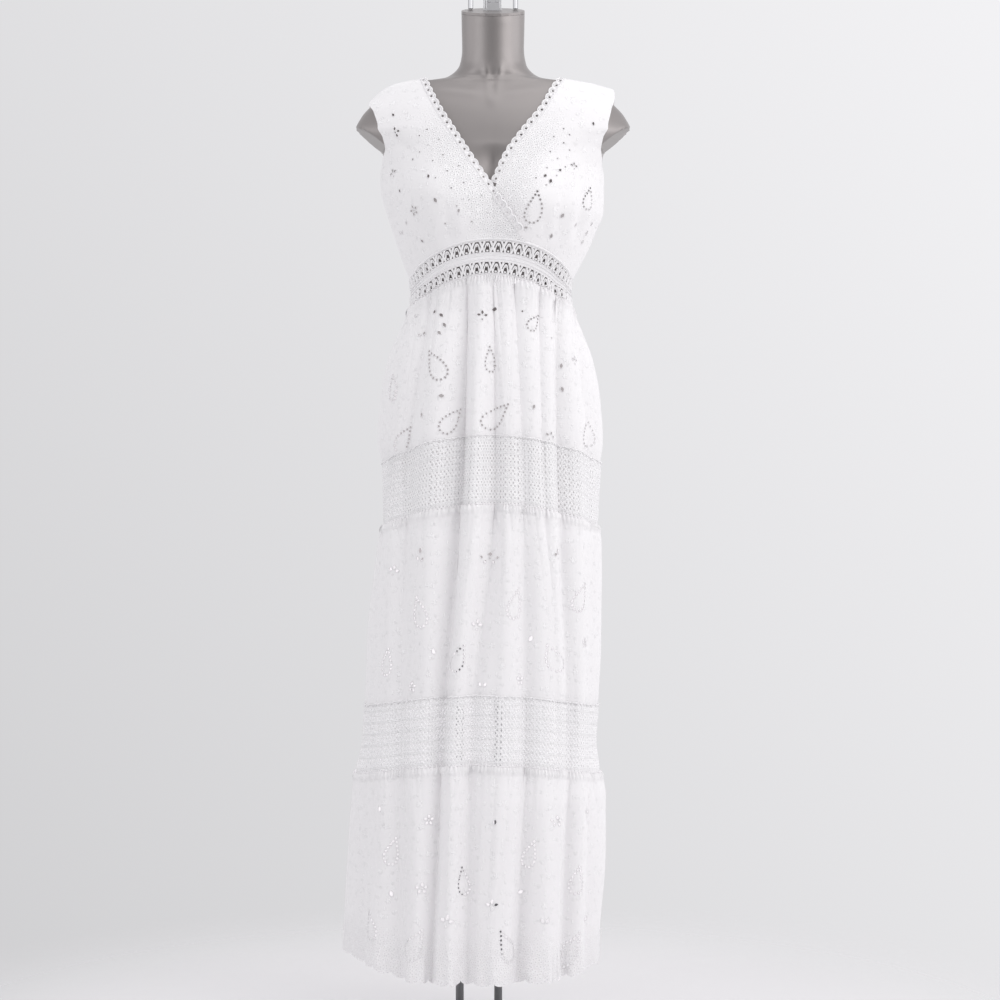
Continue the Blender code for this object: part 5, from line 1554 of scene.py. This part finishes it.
def waist_lace(side, angle_of):
    """Half the waist lace: solid borders, and two rows of arches over buds between crosses."""
    name = "waist_band_" + side
    base = skirt_piece(angle_of, BAND_TOP, WAIST)

    def surface(u, v):
        return base(u, v)[0]

    girth, height = sizes_of(surface)
    repeats = round(girth / OPENING_PITCH)

    def chart(u, v, points):
        return np.stack([u * girth, v * height], axis=-1)

    strips = []
    for k, (low, high) in enumerate(BAND_BORDERS):
        def strip(u, v, low=low, high=high):
            return surface(u, low + (high - low) * v)

        strips.append(cloth(f"{name}_strip_{k}", strip, 240, 6, CROCHET, chart))
    bpy.ops.object.select_all(action="DESELECT")
    for strip in strips:
        strip.select_set(True)
    bpy.context.view_layer.objects.active = strips[0]
    bpy.ops.object.join()
    piece = strips[0]
    piece.name = name + "_strips"

    pitch = 1.0 / repeats
    turn = np.linspace(0, 1, 7)
    bars, arches, buds, rails = [], [], [], []
    for low, high in BAND_OPEN:
        tall = high - low
        for i in range(repeats):
            middle = (i + 0.5) * pitch
            left = i * pitch
            for sign in (-1, 1):
                bars.append((left + sign * 0.23 * pitch * (1 - 2 * turn), low + tall * turn))
            arch = np.linspace(-1, 1, 9)
            arches.append((middle + 0.27 * pitch * arch,
                           low + tall * (0.80 - 0.62 * np.abs(arch) ** 2.4)))
            stem = np.linspace(0, 1, 3)
            buds.append((middle + 0 * stem, low + tall * (0.06 + 0.14 * stem)))
            buds.append((middle + 0.10 * pitch * (stem - 0.5), low + tall * (0.62 + 0 * stem)))
    for low, high in BAND_BORDERS:
        for share in WIDE_RAILS if high - low > 0.2 else NARROW_RAILS:
            rails.append((np.linspace(0, 1, 130), np.full(130, low + (high - low) * share)))

    def laid(paths, lift):
        u = np.clip(np.array([p[0] for p in paths]), 0, 1)
        return on_piece(surface, u, np.array([p[1] for p in paths]), lift)

    piping = [on_piece(surface, np.linspace(0, 1, 200), np.full(200, level), 0.0002)
              for level in (0.0, 1.0)]
    parts = [
        cords(name + "_piping", piping, 0.0015, CROCHET, turns=1),
        cords(name + "_crosses", laid(bars, 0.0), 0.00220, CROCHET),
        cords(name + "_arches", laid(arches, 0.0004), 0.00135, CROCHET),
        cords(name + "_buds", laid(buds, 0.0004), 0.0018, CROCHET, turns=1),
        cords(name + "_rails", laid(rails, 0.0005), 0.00075, CROCHET),
    ]
    declare(piece, [name],
            area=round(area_of(piece), 5), with_pieces=parts)


# ---------------------------------------------------------------- the bodice

# Where the outer corners of the shoulders stand away from the form: how wide, and how far.
SHOULDER_CORNERS = (
    (0.026, (0.213, 0.0, 1.436), (-0.007, 0.0, 0.019)),
    (0.012, (0.208, 0.0, 1.452), (0.003, 0.0, 0.008)),
    (0.026, (-0.169, 0.0, 1.436), (0.001, 0.0, 0.006)),
)


CHART_RADIUS, CHART_INSET = 0.145, 0.02     # the round body that the bodice's chart is drawn on
PANEL_TALL = 0.330          # height that a bodice panel was cut to, and the widths
FRONT_WIDE, BACK_WIDE = 0.24, 0.46


def bodice_chart(u, v, points):
    """The cloth's own chart, in metres: round the body, and up."""
    turn = np.arctan2(points[:, 0] - FORM_X, np.abs(points[:, 1]) + CHART_INSET)
    return np.stack([CHART_RADIUS * turn, points[:, 2]], axis=-1)


def bodice_part(name, base, side, motifs, columns, rows, trim, spots=()):
    """One bodice panel with its creases, eyelets and rims."""
    def surface(u, v):
        points, out = base(u, v)
        points = points + out * creased(points, side)[:, None]
        for wide, corner, move in SHOULDER_CORNERS:
            away = np.linalg.norm(points - corner, axis=1)
            points = points + np.exp(-0.5 * (away / wide) ** 2)[:, None] * np.array(move)
        return points

    holes = holes_of(surface, motifs) + sound(surface, list(spots))
    piece = cloth(name, surface, columns, rows, COTTON, bodice_chart, holes, trim=trim)
    stitched = rims(name + "_rims", surface, holes, SATIN)
    return piece, surface, stitched


def edge_spots(inside, outside, count, low, high, seed):
    """Small eyelets scattered in the embroidered band along a neck edge."""
    made = []
    for i in range(count):
        across = (i * 0.618 + seed) % 1.0
        up = low + (high - low) * ((i + 0.5) / count)
        made.append(Hole(inside + (outside - inside) * across, up, SMALL_DOT, SMALL_DOT, 0, 0))
    return made


EDGING_HOLE = (0.40, 0.0019, 0.0018)    # a scallop's hole: how far out, and half sizes


def neck_edging(name, node, surface, path, turn):
    """Crochet edging: a strip with one hole in each scallop, and cords round its lobes."""
    def strip(t, w):
        base = surface(*path(t))
        _, (out, _) = skin(surface, *path(t))
        h = 1e-3
        along = surface(*path(np.minimum(t + h, 1))) - surface(*path(np.maximum(t - h, 0)))
        square = turn * unit(np.cross(out, along))
        on_seam = np.sign(base[:, :1] - FORM_X) * unit(np.cross(out, (0, 1, 0)))
        share = ramp(0, EDGING_TURN, np.abs(base[:, 1:2]))
        valley = 1 - SCALLOP_DIP * (1 - np.abs(np.sin(math.pi * scallops * t)) ** 0.7)
        reach = EDGING_GAP * 0.3 + EDGING_WIDTH * w * (1 - w + w * valley)
        points = base + unit(square * share + on_seam * (1 - share)) * reach[:, None]
        follow = ramp(EDGING_TURN, 2 * EDGING_TURN, np.abs(base[:, 1]))
        points[:, 1] += follow * (depth_at(points) - depth_at(base))
        return points

    line = surface(*path(np.linspace(0, 1, 200)))
    length = float(np.linalg.norm(np.diff(line, axis=0), axis=1).sum())
    scallops = round(length / SCALLOP_PITCH)
    holes = [Hole((i + 0.5) / scallops, *EDGING_HOLE, 0, 0) for i in range(scallops)]

    def chart(u, v, points):
        return np.stack([u * length, v * EDGING_WIDTH], axis=-1)

    piece = cloth(name, strip, 12 * scallops, 8, CROCHET, chart, holes)
    run = np.linspace(0.002, 0.998, 14 * scallops)
    rails = [on_piece(strip, run, np.full(len(run), level), 0.0003) for level in (0.02, 0.12)]
    outer = on_piece(strip, run, np.full(len(run), 0.96), 0.0002)
    parts = [
        cords(name + "_base", rails, 0.0008, CROCHET, turns=0),
        cords(name + "_lobes", [outer], 0.0011, CROCHET, turns=1),
    ]
    at = np.array([hole.u for hole in holes])
    turns = np.linspace(0, math.tau, 12, endpoint=False)
    u = at[:, None] + 0.0036 * np.sin(turns) / length
    v = 0.44 + 0.36 * np.cos(turns) + 0 * u
    rings = on_piece(strip, u, v, 0.0005)
    parts.append(cords(name + "_rings", rings, 0.0008, CROCHET, closed=True))
    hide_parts(node)
    area = round(min(area_of(piece), length * EDGING_WIDTH), 6)


def make_bodice():
    over = front_panel(OVER_EDGE, -1, OVERLAP)
    under = front_panel(UNDER_EDGE, 1, 0.0)
    behind = back_panel()

    def neck_band(u, v):
        return (1 - ramp(0.12, 0.34, u)) * (1 - ramp(0.45, 0.80, v))

    right, right_surface, right_rims = bodice_part(
        "bodice_right_front_cloth", over, -1, RIGHT_MOTIFS, 150, 190,
        neck_band, edge_spots(0.06, 0.30, 16, 0.12, 0.60, 0.2))
    left, left_surface, left_rims = bodice_part(
        "bodice_left_front_cloth", under, -1, LEFT_MOTIFS, 150, 190,
        neck_band, edge_spots(0.20, 0.40, 12, 0.26, 0.60, 0.5))
    back, back_surface, back_rims = bodice_part(
        "bodice_back_cloth", behind, 1,
        mirrored(RIGHT_MOTIFS[:14]) + mirrored(LEFT_MOTIFS[:14]), 200, 150,
        lambda u, v: ramp(0.80, 0.95, v))
    for piece, node, stitched, least in (
        (right, "bodice_right_front", right_rims, FRONT_WIDE),
        (left, "bodice_left_front", left_rims, FRONT_WIDE),
        (back, "bodice_back", back_rims, BACK_WIDE),
    ):
        area = area_of(piece)
        wide = max(least, area / PANEL_TALL)
        declare(piece, [node],
                area=round(area, 5), with_pieces=stitched)

    def up_edge(start):
        return lambda t: (0 * t, start + (1 - start) * t)

    def round_back(t):
        return BACK_SHOULDER_SHARE + (1 - 2 * BACK_SHOULDER_SHARE) * t, 0 * t + 1

    neck_edging("neck_edging_right_crochet", "neck_edging_right", right_surface,
                up_edge(OVER_EDGING_START), -1)
    neck_edging("neck_edging_left_crochet", "neck_edging_left", left_surface,
                up_edge(UNDER_EDGING_START), 1)
    neck_edging("neck_edging_back_crochet", "neck_edging_back", back_surface, round_back, -1)
    waist_lace("front", even_front)
    waist_lace("back", back_angle)


# ---------------------------------------------------------------- the form and its stand

FORM_COLUMNS, FORM_ROWS = 176, 170
FRONT_CROWDING = 0.45       # how much closer the form's columns lie at the front


def make_form():
    """The torso at full smoothness, with sharp edges at its cuts."""
    bm = flat_grid(FORM_COLUMNS, FORM_ROWS)
    turn = np.array([vert.co.x for vert in bm.verts]) * math.tau
    angle = turn - FRONT_CROWDING * np.sin(turn)
    share = np.array([vert.co.y for vert in bm.verts])
    spot = share * (len(FORM) - 1)
    for vert, point in zip(bm.verts[:], form_surface(angle, spot)):
        vert.co = point
    bmesh.ops.remove_doubles(bm, verts=bm.verts[:], dist=1e-6)
    bmesh.ops.holes_fill(bm, edges=[edge for edge in bm.edges if edge.is_boundary], sides=0)
    bmesh.ops.recalc_face_normals(bm, faces=bm.faces[:])
    mesh = bpy.data.meshes.new("dress_form_skin")
    bm.to_mesh(mesh)
    bm.free()
    mesh.shade_smooth()
    mesh.set_sharp_from_angle(angle=math.radians(35))
    mesh.materials.append(SILVER)
    made = bpy.data.objects.new("dress_form_skin", mesh)
    bpy.context.collection.objects.link(made)
    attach(made, "root")
    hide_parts("dress_form")


def slab(bm, low, high, bevel):
    """A block between two corners with its edges rounded."""
    made = bmesh.ops.create_cube(bm, size=1.0)["verts"]
    low, high = np.array(low), np.array(high)
    bmesh.ops.scale(bm, verts=made, vec=tuple(high - low))
    bmesh.ops.translate(bm, verts=made, vec=tuple((high + low) / 2))
    edges = list(dict.fromkeys(edge for vert in made for edge in vert.link_edges))
    bmesh.ops.bevel(bm, geom=edges, offset=bevel, segments=2, profile=0.5, affect="EDGES",
                    material=-1)


def make_bracket():
    """The plate that the neck hangs from, with a folded channel each side and two screws."""
    low, high = (np.array(corner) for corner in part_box("neck_bracket"))
    bm = bmesh.new()
    wide = high[0] - low[0]
    slab(bm, (low[0] + 0.16 * wide, low[1] + 0.0008, low[2]),
         (high[0] - 0.16 * wide, high[1], high[2]), 0.0005)
    for side in (0, 1):
        x0 = low[0] + side * 0.86 * wide
        slab(bm, (x0, low[1], low[2]), (x0 + 0.05 * wide, high[1], high[2]), 0.0004)
        x0 = low[0] + (0.07 + side * 0.79) * wide
        slab(bm, (x0, high[1] - 0.0010, low[2]), (x0 + 0.07 * wide, high[1], high[2]), 0.0003)
    forwards = Matrix.Rotation(math.pi / 2, 3, "X")
    for share in (0.30, 0.70):
        head = bmesh.ops.create_cone(bm, cap_ends=True, segments=16, radius1=0.0024,
                                     radius2=0.0019, depth=0.0010)["verts"]
        bmesh.ops.rotate(bm, verts=head, cent=(0, 0, 0), matrix=forwards)
        bmesh.ops.translate(bm, verts=head, vec=(low[0] + share * wide, low[1] + 0.0005,
                                                 low[2] + 0.55 * (high[2] - low[2])))
    bmesh.ops.recalc_face_normals(bm, faces=bm.faces[:])
    mesh = bpy.data.meshes.new("neck_bracket_plate")
    bm.to_mesh(mesh)
    bm.free()
    mesh.materials.append(STEEL)
    made = bpy.data.objects.new("neck_bracket_plate", mesh)
    bpy.context.collection.objects.link(made)
    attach(made, "root")
    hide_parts("neck_bracket")


def finish_metal():
    for node, coat in (("neck_cap", SILVER), ("neck_handle", CHROME), ("post_left", DARK),
                       ("post_right", DARK), ("base", DARK)):
        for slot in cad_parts[node].material_slots:
            slot.material = coat


# ---------------------------------------------------------------- floor, light and camera

def make_stage():
    """A round pale floor that fades out at its rim."""
    made, tree, shell = shader("pale_floor")
    shell.inputs["Roughness"].default_value = 0.9
    place = add(tree, "TexCoord").outputs["Object"]
    noise = add(tree, "TexNoise", place)
    noise.inputs["Scale"].default_value = 0.8
    tree.links.new(share_of(tree, noise.outputs[0], *FLOOR_PALE), shell.inputs["Base Color"])
    away = add(tree, "VectorMath", place, operation="LENGTH").outputs["Value"]
    faded = step_between(tree, away, FLOOR_RADIUS * 0.35, FLOOR_RADIUS)
    tree.links.new(maths(tree, "SUBTRACT", 1.0, faded), shell.inputs["Alpha"])
    bm = bmesh.new()
    bmesh.ops.create_circle(bm, cap_ends=True, cap_tris=True, segments=96, radius=FLOOR_RADIUS)
    mesh = bpy.data.meshes.new("floor")
    bm.to_mesh(mesh)
    bm.free()
    mesh.materials.append(made)
    stage = bpy.data.objects.new("floor", mesh)
    bpy.context.collection.objects.link(stage)


def make_studio():
    """Light all round: a pale backdrop, brighter on the right, and a darker room in front.

    Metal also mirrors a bright panel on each side.
    """
    world = bpy.data.worlds.new("studio")
    bpy.context.scene.world = world
    world.use_nodes = True
    tree = world.node_tree
    sky = tree.nodes["Background"]
    x, y, z = add(tree, "SeparateXYZ", add(tree, "TexCoord").outputs["Generated"]).outputs
    lean = maths(tree, "MINIMUM", maths(tree, "MAXIMUM", x, -0.30), 0.30)
    tall = maths(tree, "MINIMUM", maths(tree, "MAXIMUM", z, -0.30), 0.25)
    seen = maths(tree, "MULTIPLY_ADD", lean, 0.36, 0.775)
    seen = maths(tree, "MULTIPLY_ADD", tall, 0.27, seen)
    room = step_between(tree, maths(tree, "MULTIPLY", y, -1.0), 0.80, 0.985)
    light = maths(tree, "MULTIPLY_ADD", x, 0.13, STUDIO_LIGHT)
    light = maths(tree, "MULTIPLY", light, maths(tree, "MULTIPLY_ADD", room, -0.60, 1.0))
    ray = add(tree, "LightPath")
    beside = step_between(tree, maths(tree, "ABSOLUTE", x), 0.84, 0.99)
    beside = maths(tree, "MULTIPLY", beside, maths(tree, "MULTIPLY_ADD", x, 0.20, 0.75))
    light = maths(tree, "MULTIPLY_ADD", beside, ray.outputs["Is Glossy Ray"], light)
    direct = ray.outputs["Is Camera Ray"]
    strength = maths(tree, "MULTIPLY_ADD", direct, maths(tree, "SUBTRACT", seen, light), light)
    tree.links.new(strength, sky.inputs["Strength"])
    sky.inputs["Color"].default_value = (0.985, 0.98, 1.0, 1)


Lamp = namedtuple("Lamp", "name place aim size power colour")
LAMPS = (
    Lamp("key", (2.6, -2.2, 2.0), (0, 0, 0.9), (2.2, 2.6), 27, (1, 0.985, 0.985)),
    Lamp("fill", (-2.6, -2.2, 1.8), (0, 0, 0.9), (1.8, 2.6), 15, (0.98, 0.985, 1)),
    Lamp("top", (0.4, -0.6, 3.0), (0, 0, 0.8), (2.0, 2.0), 9, (1, 1, 1)),
)
EYE = (0.0328, -3.55, 0.828)
LENS, SENSOR = 81.9, 36


def area_light(name, place, aim, size, power, colour):
    light = bpy.data.lights.new(name, "AREA")
    light.shape = "RECTANGLE"
    light.size, light.size_y = size
    light.energy = power
    light.color = colour
    made = bpy.data.objects.new(name, light)
    bpy.context.collection.objects.link(made)
    made.location = place
    made.rotation_euler = (Vector(aim) - Vector(place)).to_track_quat("-Z", "Y").to_euler()


def make_light_and_camera():
    make_studio()
    for lamp in LAMPS:
        area_light(*lamp)
    camera = bpy.data.cameras.new("camera")
    camera.lens = LENS
    camera.sensor_width = SENSOR
    eye = bpy.data.objects.new("camera", camera)
    bpy.context.collection.objects.link(eye)
    eye.location = EYE
    eye.rotation_euler = (math.pi / 2, 0, 0)
    bpy.context.scene.camera = eye
    bpy.context.scene.view_settings.view_transform = "Standard"


# ---------------------------------------------------------------- everything

make_light_and_camera()
make_stage()
make_form()
make_bracket()
finish_metal()
make_skirt()
lace_band(1, LACE_1_TOP, LACE_1_FOOT)
lace_band(2, LACE_2_TOP, LACE_2_FOOT)
make_bodice()
